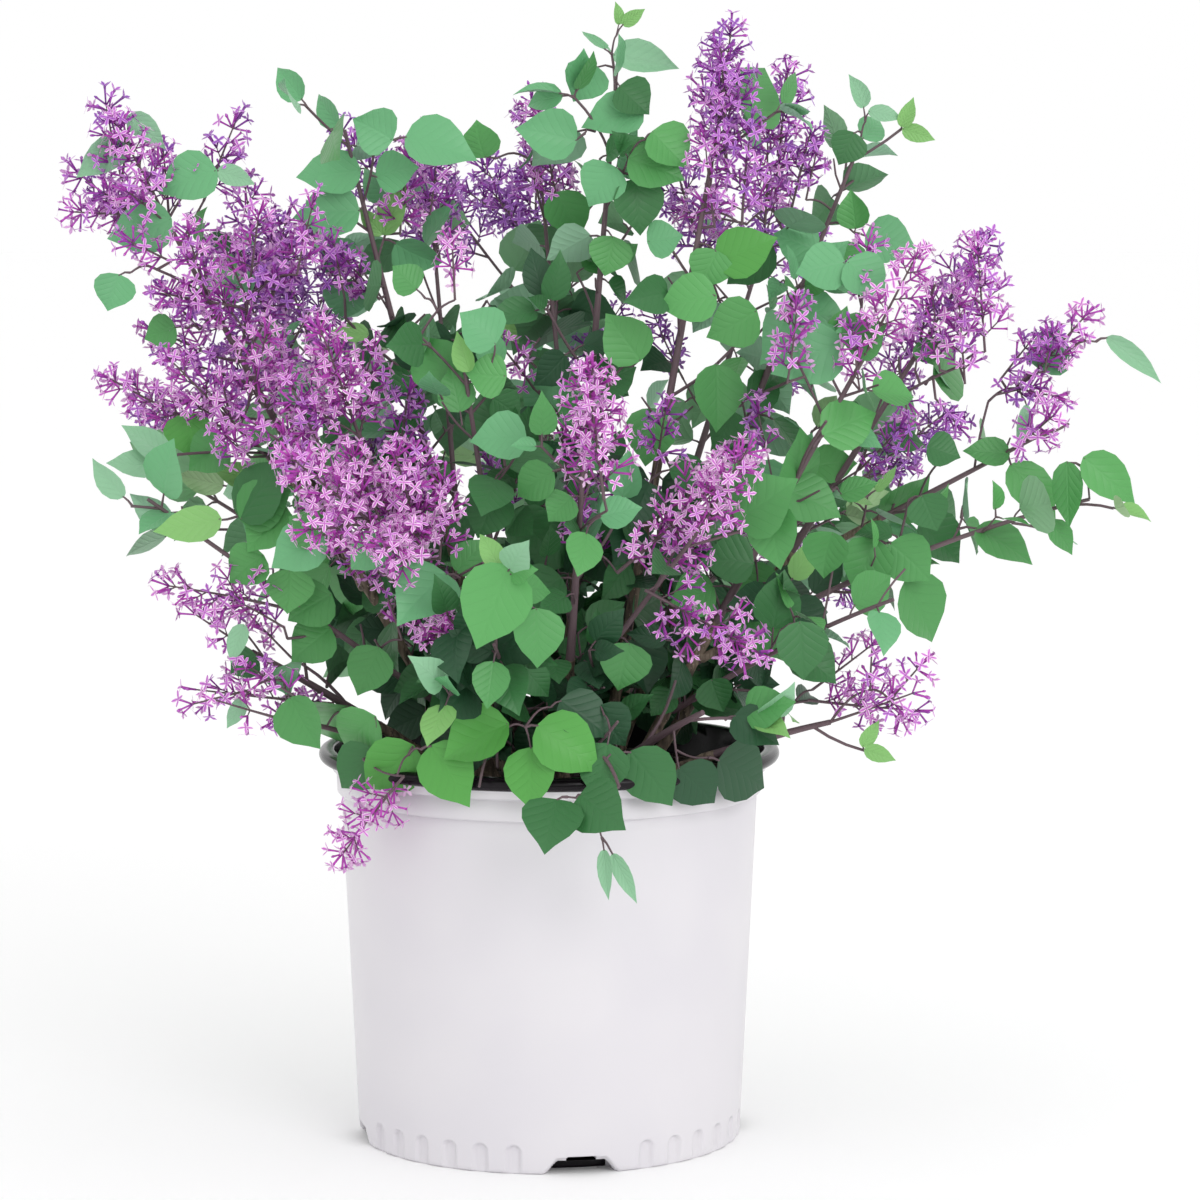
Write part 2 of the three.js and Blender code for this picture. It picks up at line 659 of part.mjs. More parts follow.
class Mass {
  constructor(shoot, room) {
    this.shoot = shoot;
    this.room = room;
    this.chance = new Seeded(shoot.seed);
    this.stems = [];
    this.leaves = [];
    this.grow();
  }
  // Nodes up the stem, each a quarter turn on from the last, with a twig on one side and a leaf on the other.
  grow() {
    const { shoot, chance } = this;
    const stem = shoot.mainStem();
    const leafyShare = shoot.stemEnd - shoot.bare;
    const nodes = Math.max(2, Math.round((shoot.length * leafyShare) / TWIG.internode));
    let turn = chance.between(0, 2 * Math.PI);
    for (let k = 0; k < nodes; k++) {
      const share = (k + HABIT.firstNode) / nodes;
      const radius = shoot.radiusAt(shoot.bare + leafyShare * share);
      const node = { ...placeOn(stem, share), radius, height: k / nodes };
      turn += Math.PI / 2 + chance.between(...HABIT.nodeTurn);
      const [near, far] = [turn, turn + Math.PI].map((angle) => outward(node.along, angle));
      this.growTwig(node, k % 2 === 0 ? near : far);
      this.growLeaf(node.at, node.along, k % 2 === 0 ? far : near);
    }
    this.finish(stem, shoot.flowering, TIP_LENGTH.flowering);
  }
  // A twig leaves at a slant, lifted as the shoot's twigs are, and is shortened until it fits.
  growTwig(node, out) {
    const { shoot, chance, room } = this;
    const length = shoot.spread * (1 - TWIG.crowding * node.height) * chance.between(...HABIT.twig.length);
    const rise = chance.between(...HABIT.twig.rise);
    const way = sum(node.along, rise, out, HABIT.twig.out, UP, shoot.lift).normalize();
    const flowers = shoot.bloom > chance.next();
    const headLength = chance.between(PANICLE.shortest, PANICLE.longest);
    for (const shortened of TWIG.sizesTried) {
      const reach = length * shortened;
      const alongIt = HABIT.twig.checkedAt.map((share) => sum(node.at, 1, way, reach * share));
      if (!room.holds(alongIt, shoot, MARGIN.limb)) continue;
      const end = alongIt[alongIt.length - 1];
      const thick = Math.max(TWIG.tipRadius, node.radius * TWIG.thinning);
      const twig = { points: [node.at, end], ways: [way, way], radii: [thick, TWIG.tipRadius] };
      this.finish(twig, flowers, headLength);
      this.growLeaf(alongIt[1], way, outward(way, chance.between(0, Math.PI)));
      return;
    }
    this.growLeaf(node.at, node.along, out);
  }
  // A leaf stands out and hangs a little, with its face turned up and away from the bush.
  growLeaf(at, along, out) {
    const { chance } = this;
    const { leaf } = HABIT;
    const length = chance.between(LEAF.shortest, LEAF.longest);
    const droop = chance.between(...leaf.droop);
    const tilt = chance.between(...leaf.faceTilt);
    const away = new THREE.Vector3(at.x, at.y, 0).normalize();
    const direction = sum(out, 1, along, leaf.rise, UP, -droop, away, leaf.away);
    this.addLeaf(at, direction, sum(UP, leaf.faceUp, away, leaf.faceAway, out, tilt), length);
  }
  // A stem swells into a flower head, or ends in a pair of young leaves.
  finish(stem, flowers, headLength) {
    const { chance, room, shoot } = this;
    this.stems.push(stem);
    const end = stem.points[stem.points.length - 1];
    const way = stem.ways[stem.ways.length - 1];
    for (const shortened of flowers ? PANICLE.sizesTried : []) {
      const upward = sum(way, 1, UP, shoot.lift * HABIT.headLift);
      const head = new Panicle(end, upward, headLength * shortened);
      if (!room.holds(head.samples(), shoot, MARGIN.limb)) continue;
      stem.head = head;
      return;
    }
    const { young } = HABIT;
    const turn = chance.between(0, Math.PI);
    const root = sum(end, 1, way, -TWIG.tipRadius);
    for (const out of [outward(way, turn), outward(way, turn + Math.PI)]) {
      const length = chance.between(LEAF.shortest, LEAF.longest) * LEAF.youngShare;
      const facing = sum(UP, young.faceUp, out, young.faceOut);
      this.addLeaf(root, sum(out, young.out, way, young.rise), facing, length);
    }
  }
  // A leaf that doesn't fit its space is tried smaller, and then left out.
  addLeaf(root, direction, facing, length) {
    for (const shortened of LEAF.sizesTried) {
      const leaf = new Leaf(root, direction, facing, length * shortened);
      if (!this.room.holds(leaf.samples(), this.shoot, MARGIN.limb)) continue;
      this.leaves.push(leaf);
      return;
    }
  }
  geometry() {
    const stems = this.stems.map((stem) => stemGeometry(stem, stem.head ? PANICLE.sides : TWIG.sides));
    const leaves = this.leaves.map((leaf) => leaf.geometry());
    return toGeometry(fuse([...stems, ...leaves].map(toSolid)));
  }
}

// ---------------------------------------------------------------- the whole bush

function lilacBush() {
  const bush = new THREE.Group();
  const add = (name, geometry, color, roughness) => {
    const finish = new THREE.MeshStandardMaterial({ color, roughness, metalness: 0 });
    const mesh = new THREE.Mesh(geometry, finish);
    mesh.name = name;
    bush.add(mesh);
  };
  add("pot", potGeometry(), COLOURS.potWhite, 0.4);
  add("soil", soilGeometry(), COLOURS.pottingMix, 0.95);
  const shoots = makeShoots();
  const room = new Room(shoots);
  for (const shoot of shoots) {
    if (shoot.bare > 0) {
      const limb = stemGeometry(shoot.limb(), LIMB.sides);
      add((shoot.parent ? "bough_" : "cane_") + shoot.name, limb, COLOURS.bark, 0.8);
    }
    const mass = new Mass(shoot, room);
    add("mass_" + shoot.name, mass.geometry(), shoot.flowering ? COLOURS.blossom : COLOURS.foliage, 0.6);
  }
  return bush;
}

export default lilacBush();
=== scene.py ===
"""A lilac bush in flower in a white nursery pot: its looks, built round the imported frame.

The frame's axes hold: +Z up, the bush's front towards -Y, the origin under the middle of the pot. Plants and pots are
measured in millimetres, so sizes below are in millimetres, and a mesh is turned to metres as it is made.
The bush grows by the same seeded rule as its solids, and finer twigs, leaves and flowers then grow on from those.
"""

import json
import logging
import math
from dataclasses import dataclass, field
from enum import Enum, IntEnum

import bmesh
import bpy
import numpy as np
from mathutils import Matrix, Vector, noise

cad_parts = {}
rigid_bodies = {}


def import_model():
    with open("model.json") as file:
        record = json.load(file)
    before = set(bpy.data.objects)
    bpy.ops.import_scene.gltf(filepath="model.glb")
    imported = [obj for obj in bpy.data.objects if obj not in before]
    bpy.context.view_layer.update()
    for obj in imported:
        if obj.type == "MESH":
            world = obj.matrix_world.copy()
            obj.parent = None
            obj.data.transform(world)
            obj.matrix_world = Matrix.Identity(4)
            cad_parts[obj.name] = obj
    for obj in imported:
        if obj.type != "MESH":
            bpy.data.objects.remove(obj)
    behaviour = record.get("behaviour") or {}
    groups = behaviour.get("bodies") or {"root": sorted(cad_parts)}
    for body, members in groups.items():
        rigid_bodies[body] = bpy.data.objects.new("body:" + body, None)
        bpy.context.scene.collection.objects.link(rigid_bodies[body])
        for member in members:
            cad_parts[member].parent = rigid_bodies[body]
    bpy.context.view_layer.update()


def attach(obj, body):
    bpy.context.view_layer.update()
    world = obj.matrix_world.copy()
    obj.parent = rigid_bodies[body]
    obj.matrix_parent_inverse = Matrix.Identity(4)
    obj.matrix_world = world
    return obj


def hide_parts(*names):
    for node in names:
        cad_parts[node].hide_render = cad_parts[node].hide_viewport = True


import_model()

log = logging.getLogger("lilac")
MM = 0.001
BODY = "root"
SHARP_ANGLE = math.radians(100)
Array = np.ndarray
UP = np.array([0.0, 0.0, 1.0])
LEVEL = np.array([1.0, 1.0, 0.0])


# ---------------------------------------------------------------- small tools


def linear(hex_code: str) -> tuple[float, float, float, float]:
    """Turns an sRGB colour to Blender's linear one.

    Args:
        hex_code: The colour as "rrggbb".

    Returns:
        Linear red, green, blue and an alpha of 1.
    """
    values = [int(hex_code[i : i + 2], 16) / 255 for i in (0, 2, 4)]
    red, green, blue = [v / 12.92 if v <= 0.04045 else ((v + 0.055) / 1.055) ** 2.4 for v in values]
    return red, green, blue, 1.0


def unit(vector: Array) -> Array:
    """Returns the vector at length 1."""
    return vector / max(float(np.linalg.norm(vector)), 1e-12)


def across(along: Array) -> tuple[Array, Array]:
    """Finds two directions across a given one.

    Args:
        along: A unit vector.

    Returns:
        Two unit vectors square to it and to each other.
    """
    level = np.cross(UP, along)
    u = unit(level) if level @ level > 1e-4 else np.array([1.0, 0.0, 0.0])
    return u, unit(np.cross(along, u))


def outward(along: Array, angle: float) -> Array:
    """Returns the direction across a stem at an angle round it."""
    u, v = across(along)
    return u * math.cos(angle) + v * math.sin(angle)


def squared(direction: Array, along: Array) -> Array:
    """Returns the direction made square to another, at length 1."""
    return unit(direction - along * float(direction @ along))


def whole(value: float) -> int:
    """Returns the nearest whole number, with halves going up."""
    return math.floor(value + 0.5)


def segment_distances(points: Array, starts: Array, ends: Array) -> Array:
    """Measures how far points are from straight segments.

    Args:
        points: One point a row.
        starts: Where each segment begins.
        ends: Where each segment ends.

    Returns:
        A row for each point with its distance to each segment.
    """
    lines = ends - starts
    rel = points[:, None, :] - starts[None]
    share = np.clip((rel * lines).sum(2) / (lines * lines).sum(1), 0, 1)
    return np.linalg.norm(rel - share[..., None] * lines, axis=2)


def smooth_step(low: float, high: float, value: Array) -> Array:
    """Returns 0 below low, 1 above high and a soft rise between."""
    t = np.clip((value - low) / (high - low), 0, 1)
    return t * t * (3 - 2 * t)


class Seeded:
    """A repeatable run of numbers from 0 to 1."""

    def __init__(self, seed: int) -> None:
        """Starts the run.

        Args:
            seed: A whole number above 0.
        """
        self.state = seed

    def next(self) -> float:
        """Returns the next number of the run."""
        self.state = self.state * 48271 % 2147483647
        return self.state / 2147483647

    def between(self, low: float, high: float) -> float:
        """Returns the next number, stretched to a range."""
        return low + (high - low) * self.next()

    def pick(self, choices: tuple) -> object:
        """Returns one of the choices."""
        return choices[int(self.next() * len(choices)) % len(choices)]


# ---------------------------------------------------------------- finishes


def add_node(tree: bpy.types.NodeTree, kind: str, inputs: dict | None = None, **settings: object) -> bpy.types.Node:
    """Adds a node with its settings and links.

    Args:
        tree: The material's node tree.
        kind: The node's type name.
        inputs: What each input takes, by name or number: a value, or the socket it is linked from.
        **settings: The node's own properties.

    Returns:
        The new node.
    """
    node = tree.nodes.new(kind)
    for name, value in settings.items():
        setattr(node, name, value)
    for key, value in (inputs or {}).items():
        if isinstance(value, bpy.types.NodeSocket):
            tree.links.new(value, node.inputs[key])
        else:
            node.inputs[key].default_value = value
    return node


@dataclass(frozen=True)
class Finish:
    """What one surface is made of. A kind of finish adds its own pattern in dress()."""

    name: str
    colour: str
    roughness: float = 0.5
    ior: float = 1.45

    def make(self) -> bpy.types.Material:
        """Makes the material with its shader and pattern, once."""
        found = bpy.data.materials.get(self.name)
        if found:
            return found
        material = bpy.data.materials.new(self.name)
        material.use_nodes = True
        material.diffuse_color = linear(self.colour)
        tree = material.node_tree
        tree.nodes.clear()
        shader = add_node(
            tree,
            "ShaderNodeBsdfPrincipled",
            {"Base Color": linear(self.colour), "Roughness": self.roughness, "IOR": self.ior},
        )
        add_node(tree, "ShaderNodeOutputMaterial", {"Surface": shader.outputs["BSDF"]})
        self.dress(tree, shader)
        return material

    def dress(self, tree: bpy.types.NodeTree, shader: bpy.types.Node) -> None:
        """Adds the surface's pattern. A plain finish has none."""

    def grain(
        self, tree: bpy.types.NodeTree, size_mm: float, detail: float, stretch: tuple[float, float, float] = (1, 1, 1)
    ) -> bpy.types.NodeSocket:
        """Adds a soft noise that lies fixed on the object.

        Args:
            tree: The material's node tree.
            size_mm: How wide one patch of it is.
            detail: How many finer layers it has.
            stretch: How much faster it runs along each axis.

        Returns:
            The socket with the noise, from 0 to 1.
        """
        where = add_node(tree, "ShaderNodeTexCoord").outputs["Object"]
        place = add_node(tree, "ShaderNodeMapping", {"Vector": where, "Scale": stretch}).outputs["Vector"]
        inputs = {"Vector": place, "Scale": 1 / (size_mm * MM), "Detail": detail}
        return add_node(tree, "ShaderNodeTexNoise", inputs).outputs["Fac"]

    def mixed(self, tree: bpy.types.NodeTree, share: bpy.types.NodeSocket, other: str, low: float, high: float):
        """Mixes the finish's colour with another by a pattern.

        Args:
            tree: The material's node tree.
            share: The pattern.
            other: The colour where the pattern is below low.
            low: Where the pattern starts to turn.
            high: Where it has turned to the finish's own colour.

        Returns:
            The socket with the mixed colour.
        """
        ramp = add_node(tree, "ShaderNodeValToRGB", {"Fac": share})
        for stop, place, colour in zip(ramp.color_ramp.elements, (low, high), (other, self.colour)):
            stop.position = place
            stop.color = linear(colour)
        return ramp.outputs["Color"]

    def relief(
        self, tree: bpy.types.NodeTree, shader: bpy.types.Node, height: bpy.types.NodeSocket, depth_mm: float
    ) -> None:
        """Presses a height pattern into the surface.

        Args:
            tree: The material's node tree.
            shader: The surface's shader.
            height: The pattern, from 0 to 1.
            depth_mm: How deep the whole of it is.
        """
        bump = add_node(tree, "ShaderNodeBump", {"Height": height, "Distance": depth_mm * MM, "Strength": 1.0})
        tree.links.new(bump.outputs["Normal"], shader.inputs["Normal"])


@dataclass(frozen=True)
class MouldedPolypropylene(Finish):
    """Injection-moulded polypropylene: satin, with the mould's faint orange peel and a soft cloudiness."""

    cloud_colour: str = "ffffff"
    cloud_mm: float = 70.0
    peel_mm: float = 1.6
    peel_depth_mm: float = 0.012

    def dress(self, tree: bpy.types.NodeTree, shader: bpy.types.Node) -> None:
        """Adds the peel and the cloudiness.

        Args:
            tree: The material's node tree.
            shader: The surface's shader.
        """
        self.relief(tree, shader, self.grain(tree, self.peel_mm, 2.0), self.peel_depth_mm)
        cloud = self.mixed(tree, self.grain(tree, self.cloud_mm, 1.0), self.cloud_colour, 0.35, 0.65)
        tree.links.new(cloud, shader.inputs["Base Color"])


@dataclass(frozen=True)
class DampBark(Finish):
    """Composted bark and peat: dark, crumbly and damp in patches."""

    light_colour: str = "4a3a2e"

    def dress(self, tree: bpy.types.NodeTree, shader: bpy.types.Node) -> None:
        """Adds crumbs, lighter dry flecks and damp patches.

        Args:
            tree: The material's node tree.
            shader: The surface's shader.
        """
        crumbs = self.grain(tree, 1.4, 4.0)
        self.relief(tree, shader, crumbs, 0.5)
        flecks = self.mixed(tree, self.grain(tree, 3.0, 3.0), self.light_colour, 0.34, 0.5)
        tree.links.new(flecks, shader.inputs["Base Color"])
        damp = add_node(tree, "ShaderNodeMapRange", {"Value": self.grain(tree, 22, 2.0), "To Min": 0.6, "To Max": 1.0})
        tree.links.new(damp.outputs["Result"], shader.inputs["Roughness"])


@dataclass(frozen=True)
class CaneBark(Finish):
    """The smooth bark of a young cane: grey-brown, streaked along the stem, with small pale pores."""

    streak_colour: str = "4b4038"
    pore_colour: str = "9a8a78"

    def dress(self, tree: bpy.types.NodeTree, shader: bpy.types.Node) -> None:
        """Adds streaks, pores and a fine relief.

        Args:
            tree: The material's node tree.
            shader: The surface's shader.
        """
        streaks = self.grain(tree, 2.5, 4.0, (1, 1, 0.12))
        bark = self.mixed(tree, streaks, self.streak_colour, 0.35, 0.68)
        pores = self.grain(tree, 1.5, 1.0, (1, 1, 0.7))
        shown = add_node(tree, "ShaderNodeMapRange", {"Value": pores, "From Min": 0.66, "From Max": 0.72})
        mix = add_node(tree, "ShaderNodeMix", {"Factor": shown.outputs["Result"]}, data_type="RGBA")
        tree.links.new(bark, mix.inputs["A"] if mix.inputs["A"].type == "RGBA" else mix.inputs[6])
        mix.inputs[7].default_value = linear(self.pore_colour)
        tree.links.new(mix.outputs[2], shader.inputs["Base Color"])
        self.relief(tree, shader, streaks, 0.25)


@dataclass(frozen=True)
class StalkSkin(Finish):
    """The skin of a green twig or a flower stalk: one colour with a faint relief."""

    def dress(self, tree: bpy.types.NodeTree, shader: bpy.types.Node) -> None:
        """Adds the relief.

        Args:
            tree: The material's node tree.
            shader: The surface's shader.
        """
        self.relief(tree, shader, self.grain(tree, 0.9, 3.0, (1, 1, 0.4)), 0.12)


@dataclass(frozen=True)
class LeafSkin(Finish):
    """One side of a leaf: waxy, with a sunk midrib, curved side veins and a quilted blade between them."""

    veins: float = 6.5
    vein_depth_mm: float = 0.2

    def dress(self, tree: bpy.types.NodeTree, shader: bpy.types.Node) -> None:
        """Adds the veins, laid out on the leaf's own coordinates.

        Args:
            tree: The material's node tree.
            shader: The surface's shader.
        """

        def maths(operation: str, *inputs: object) -> bpy.types.NodeSocket:
            """Returns the result of one step of arithmetic."""
            return add_node(tree, "ShaderNodeMath", dict(enumerate(inputs)), operation=operation).outputs[0]

        where = add_node(tree, "ShaderNodeSeparateXYZ", {0: add_node(tree, "ShaderNodeUVMap").outputs["UV"]})
        aside = maths("ABSOLUTE", maths("SUBTRACT", where.outputs["X"], 0.5))
        midrib = maths("MINIMUM", maths("MULTIPLY", aside, 26.0), 1.0)
        rise = maths("MULTIPLY", maths("POWER", aside, 0.8), 0.75)
        phase = maths("MULTIPLY", maths("SUBTRACT", where.outputs["Y"], rise), self.veins)
        wave = maths("ABSOLUTE", maths("SINE", maths("MULTIPLY", phase, math.pi)))
        between = maths("POWER", wave, 0.45)
        height = maths("MULTIPLY", midrib, between)
        self.relief(tree, shader, height, self.vein_depth_mm)


@dataclass(frozen=True)
class PetalSkin(Finish):
    """A waxy petal, tube or bud, with a soft grain that breaks up its gloss."""

    def dress(self, tree: bpy.types.NodeTree, shader: bpy.types.Node) -> None:
        """Adds the grain.

        Args:
            tree: The material's node tree.
            shader: The surface's shader.
        """
        self.relief(tree, shader, self.grain(tree, 0.8, 1.0), 0.08)


WHITE_PLASTIC = MouldedPolypropylene("white_polypropylene", "dcd9dd", 0.36, cloud_colour="d8d5da")  # cool satin white
BLACK_PLASTIC = MouldedPolypropylene("black_polypropylene", "110d11", 0.2, 1.28, "171217")  # glossy dark inner layer
POTTING_MIX = DampBark("damp_potting_mix", "231d19", 0.9)  # near-black crumbs that let the stems stand out
BARK_CHIP = DampBark("bark_chip", "3a2f27", 0.85, light_colour="5a4938")  # lighter flakes on the dark mix
CANE_BARK = CaneBark("lilac_cane_bark", "8f7f6e", 0.7)  # grey-brown canes at the base of the clump
TWIG_BARK = StalkSkin("lilac_twig_bark", "68555b", 0.6)  # purplish brown twigs between the leaves
GREEN_STALK = StalkSkin("green_leaf_stalk", "6f8a55", 0.55)  # fresh stalks that carry the leaves
FLOWER_STALK = StalkSkin("flower_stalk", "66606e", 0.55)  # slate-grey stalks that show between florets


class LeafTint(IntEnum):
    """Which green a leaf has, by where it grows: RIM is partly painted light, DEEP and SHADE are painted shade."""

    RIM = 0
    FRESH = 1
    MID = 2
    COOL = 3
    DEEP = 4
    SHADE = 5
    YOUNG = 6
    GREY = 7


# RIM's brighter green is painted light on leaves over the rim where light falls; DEEP and SHADE are painted shade,
# darker greens for leaves in the depths of the crown and under its edge.
LEAF_COLOURS = {
    LeafTint.RIM: ("56a04a", "8cc083"),  # sunlit green over the pot's rim
    LeafTint.FRESH: ("5aa15a", "8fbe93"),
    LeafTint.MID: ("519453", "82b387"),
    LeafTint.COOL: ("68ab77", "94c2a0"),  # blue-green of older leaves
    LeafTint.DEEP: ("3a7241", "629469"),
    LeafTint.SHADE: ("2a5236", "406d4c"),  # dark depths of the crown
    LeafTint.YOUNG: ("80b76a", "a4c894"),  # yellow-green tips
    LeafTint.GREY: ("8abb95", "a5caab"),  # pale grey-green tip leaves
}
LEAF_FINISHES = [
    skin
    for tint, (upper, under) in LEAF_COLOURS.items()
    for skin in (
        LeafSkin(f"leaf_{tint.name.lower()}_upper", upper, 0.4, 1.4),
        LeafSkin(f"leaf_{tint.name.lower()}_under", under, 0.6, 1.35, vein_depth_mm=-0.3),
    )
]


class PetalTint(IntEnum):
    """Which purple a flower head has, from the bright front to the deep back: lit and shaded copies of one purple,
    painted light in front and painted shade behind.
    """

    BRIGHT = 0
    CLEAR = 1
    RICH = 2
    DEEP = 3


# The four rows are one set of purples lit and shaded: painted light for the front heads, painted shade for those at the
# back.
PETAL_COLOURS = {  # stalk, tube, middle of the petal, its pale margin
    PetalTint.BRIGHT: ("80628f", "bd4cb8", "ca72ca", "f4d2f1"),
    PetalTint.CLEAR: ("70568a", "b248b4", "be66c6", "e8b8e8"),
    PetalTint.RICH: ("604a7c", "a044ae", "aa5ac0", "d69cdf"),
    PetalTint.DEEP: ("504066", "87409f", "8c4cae", "b67ecd"),
}
PETAL_PARTS = ("stalk", "tube", "middle", "margin")
PETAL_FINISHES = [
    PetalSkin(f"petal_{tint.name.lower()}_{part}", colour, 0.42, 1.4)
    for tint, colours in PETAL_COLOURS.items()
    for part, colour in zip(PETAL_PARTS, colours)
]


# ---------------------------------------------------------------- how the bush grows


@dataclass(frozen=True)
class ShootSpec:
    """Where a shoot's tip is, what it leaves from and how it carries its foliage."""

    name: str
    bearing: float
    reach: float
    height: float
    bare: float
    bloom: float
    spread: float = 62
    foot: tuple[float, float] | None = None
    parent: str = ""
    fork: float = 0
    lean: float = 0.5
    bow: float = 0
    lift: float = 0.35


SHOOTS = (
    ShootSpec("far_left", 186, 264, 628, 0.5, 1, 54, foot=(-46, 4), bow=-12),
    ShootSpec("upper_left", 163, 196, 596, 0.3, 0.9, parent="far_left", fork=0.3, lean=0.85, bow=-30),
    ShootSpec("left_mid", 198, 250, 486, 0.2, 1, parent="far_left", fork=0.42, bow=10),
    ShootSpec("left_inner", 221, 178, 506, 0.4, 1, foot=(-34, -26)),
    ShootSpec("front_left", 243, 188, 436, 0, 1, parent="left_inner", fork=0.26),
    ShootSpec("left_shoot", 203, 282, 420, 0, 0, 34, parent="left_inner", fork=0.14),
    ShootSpec("low_left", 200, 250, 338, 0.25, 0.75, 46, foot=(-58, -12), bow=12),
    ShootSpec("low_left_front", 210, 252, 278, 0, 0.7, 42, parent="low_left", fork=0.13, bow=16),
    ShootSpec("rim_left", 221, 176, 186, 0.25, 0.6, 40, foot=(-46, -50), lean=0.9, bow=84, lift=-0.3),
    ShootSpec("tall_left", 176, 132, 648, 0.45, 0.1, 50, foot=(-24, 16), bow=-8),
    ShootSpec("back_mid_left", 130, 122, 616, 0, 0.8, parent="tall_left", fork=0.25),
    ShootSpec("centre_back", 98, 78, 640, 0, 0.6, parent="tall_centre", fork=0.3),
    ShootSpec("tall_centre", 8, 44, 676, 0.4, 0.05, 50, foot=(6, 10), bow=4),
    ShootSpec("top_right", 352, 114, 680, 0.45, 0.95, foot=(32, -8)),
    ShootSpec("right_tall", 13, 208, 636, 0.4, 0.05, 58, foot=(38, 20), bow=6),
    ShootSpec("right_mid", 339, 238, 548, 0.3, 0.9, foot=(48, -24)),
    ShootSpec("right_far", 1, 270, 556, 0.42, 1, foot=(58, 4), bow=-10),
    ShootSpec("right_outer", 357, 366, 468, 0.25, 0.8, 52, parent="right_far", fork=0.4),
    ShootSpec("right_leafy", 352, 358, 402, 0.2, 0, 48, parent="right_mid", fork=0.24, bow=26),
    ShootSpec("right_low_leaf", 333, 258, 352, 0, 0, 56, parent="right_mid", fork=0.14, bow=14),
    ShootSpec("low_right", 335, 258, 280, 0.25, 0.8, 42, foot=(54, -46), bow=16),
    ShootSpec("front_right", 308, 220, 300, 0.1, 0.6, 46, foot=(26, -52), bow=18),
    ShootSpec("centre_front", 279, 164, 486, 0.3, 0.9, 52, foot=(8, -36)),
    ShootSpec("centre_right", 307, 206, 436, 0, 0.6, parent="centre_front", fork=0.22),
    ShootSpec("centre_leaf", 246, 128, 508, 0.2, 0, foot=(-14, -24)),
    ShootSpec("centre_low", 261, 204, 334, 0, 0, parent="centre_leaf", fork=0.12, bow=12),
    ShootSpec("rim_centre", 256, 176, 190, 0, 0, 44, parent="centre_leaf", fork=0.05, lean=0.85, bow=84, lift=-0.3),
    ShootSpec("rim_front", 287, 180, 172, 0.2, 0, 46, foot=(-8, -64), lean=0.85, bow=112, lift=-0.4),
    ShootSpec("back_left", 137, 256, 556, 0.38, 0.8, 70, foot=(-36, 36)),
    ShootSpec("back_far_left", 156, 270, 402, 0, 0.5, parent="back_left", fork=0.24),
    ShootSpec("back_centre", 93, 226, 606, 0.38, 0.7, 70, foot=(-4, 44)),
    ShootSpec("back_right", 53, 252, 584, 0.38, 0.8, 70, foot=(32, 46)),
    ShootSpec("back_far_right", 29, 296, 432, 0, 0.6, parent="back_right", fork=0.24),
    ShootSpec("back_low_left", 121, 258, 326, 0, 0.3, parent="back_left", fork=0.1, bow=14),
    ShootSpec("back_low_right", 66, 258, 318, 0, 0.3, parent="back_right", fork=0.1, bow=14),
    ShootSpec("back_low", 91, 270, 434, 0, 0.4, parent="back_centre", fork=0.2),
)


@dataclass(frozen=True)
class Sight:
    """The camera's place, tilt and lens, in mm, and what it sees at a pixel of its square picture."""

    eye: tuple[float, float, float] = (31.0, -2737.0, 639.0)
    pitch_deg: float = 6.46
    lens: float = 135.7
    film: float = 36.0
    picture: int = 1200

    def ray(self, pixel: tuple[float, float]) -> Array:
        """Returns the way that a pixel looks."""
        pitch = math.radians(self.pitch_deg)
        right, down = (np.array(pixel) - self.picture / 2) * self.film / (self.lens * self.picture)
        ahead = math.cos(pitch) - math.sin(pitch) * down
        return np.array([right, ahead, -math.sin(pitch) - math.cos(pitch) * down])

    def on_plane(self, pixel: tuple[float, float], depth: float) -> Array:
        """Returns the point seen at a pixel in the upright plane at a depth."""
        ray = self.ray(pixel)
        return np.array(self.eye) + ray * (depth - self.eye[1]) / ray[1]

    def on_drum(self, pixel: tuple[float, float], radius: float) -> Array:
        """Returns the point seen at a pixel on the front of an upright drum round the pot's axis."""
        ray, eye = self.ray(pixel), np.array(self.eye)
        a, b, c = ray[:2] @ ray[:2], ray[:2] @ eye[:2], eye[:2] @ eye[:2] - radius**2
        return eye + ray * (-b - math.sqrt(max(b * b - a * c, 0))) / a

    def pixels(self, points: Array) -> Array:
        """Returns the pixels that points show at."""
        pitch = math.radians(self.pitch_deg)
        off = points - np.array(self.eye)
        ahead = off[:, 1] * math.cos(pitch) - off[:, 2] * math.sin(pitch)
        up = off[:, 1] * math.sin(pitch) + off[:, 2] * math.cos(pitch)
        return self.picture / 2 + np.column_stack([off[:, 0], -up]) / ahead[:, None] * self.lens * self.picture / self.film


SIGHT = Sight()


@dataclass(frozen=True)
class Spray:
    """Leaves or flower heads that stand together, by the pixels that the foot and the tip of each show at.

    They stand in front of the wood that shows there, or on a drum round the pot where its two radii are given.
    """

    name: str
    places: tuple[tuple[float, float, float, float], ...]
    tint: LeafTint = LeafTint.MID
    drum: tuple[float, float] | None = None
    width: float = 1.0
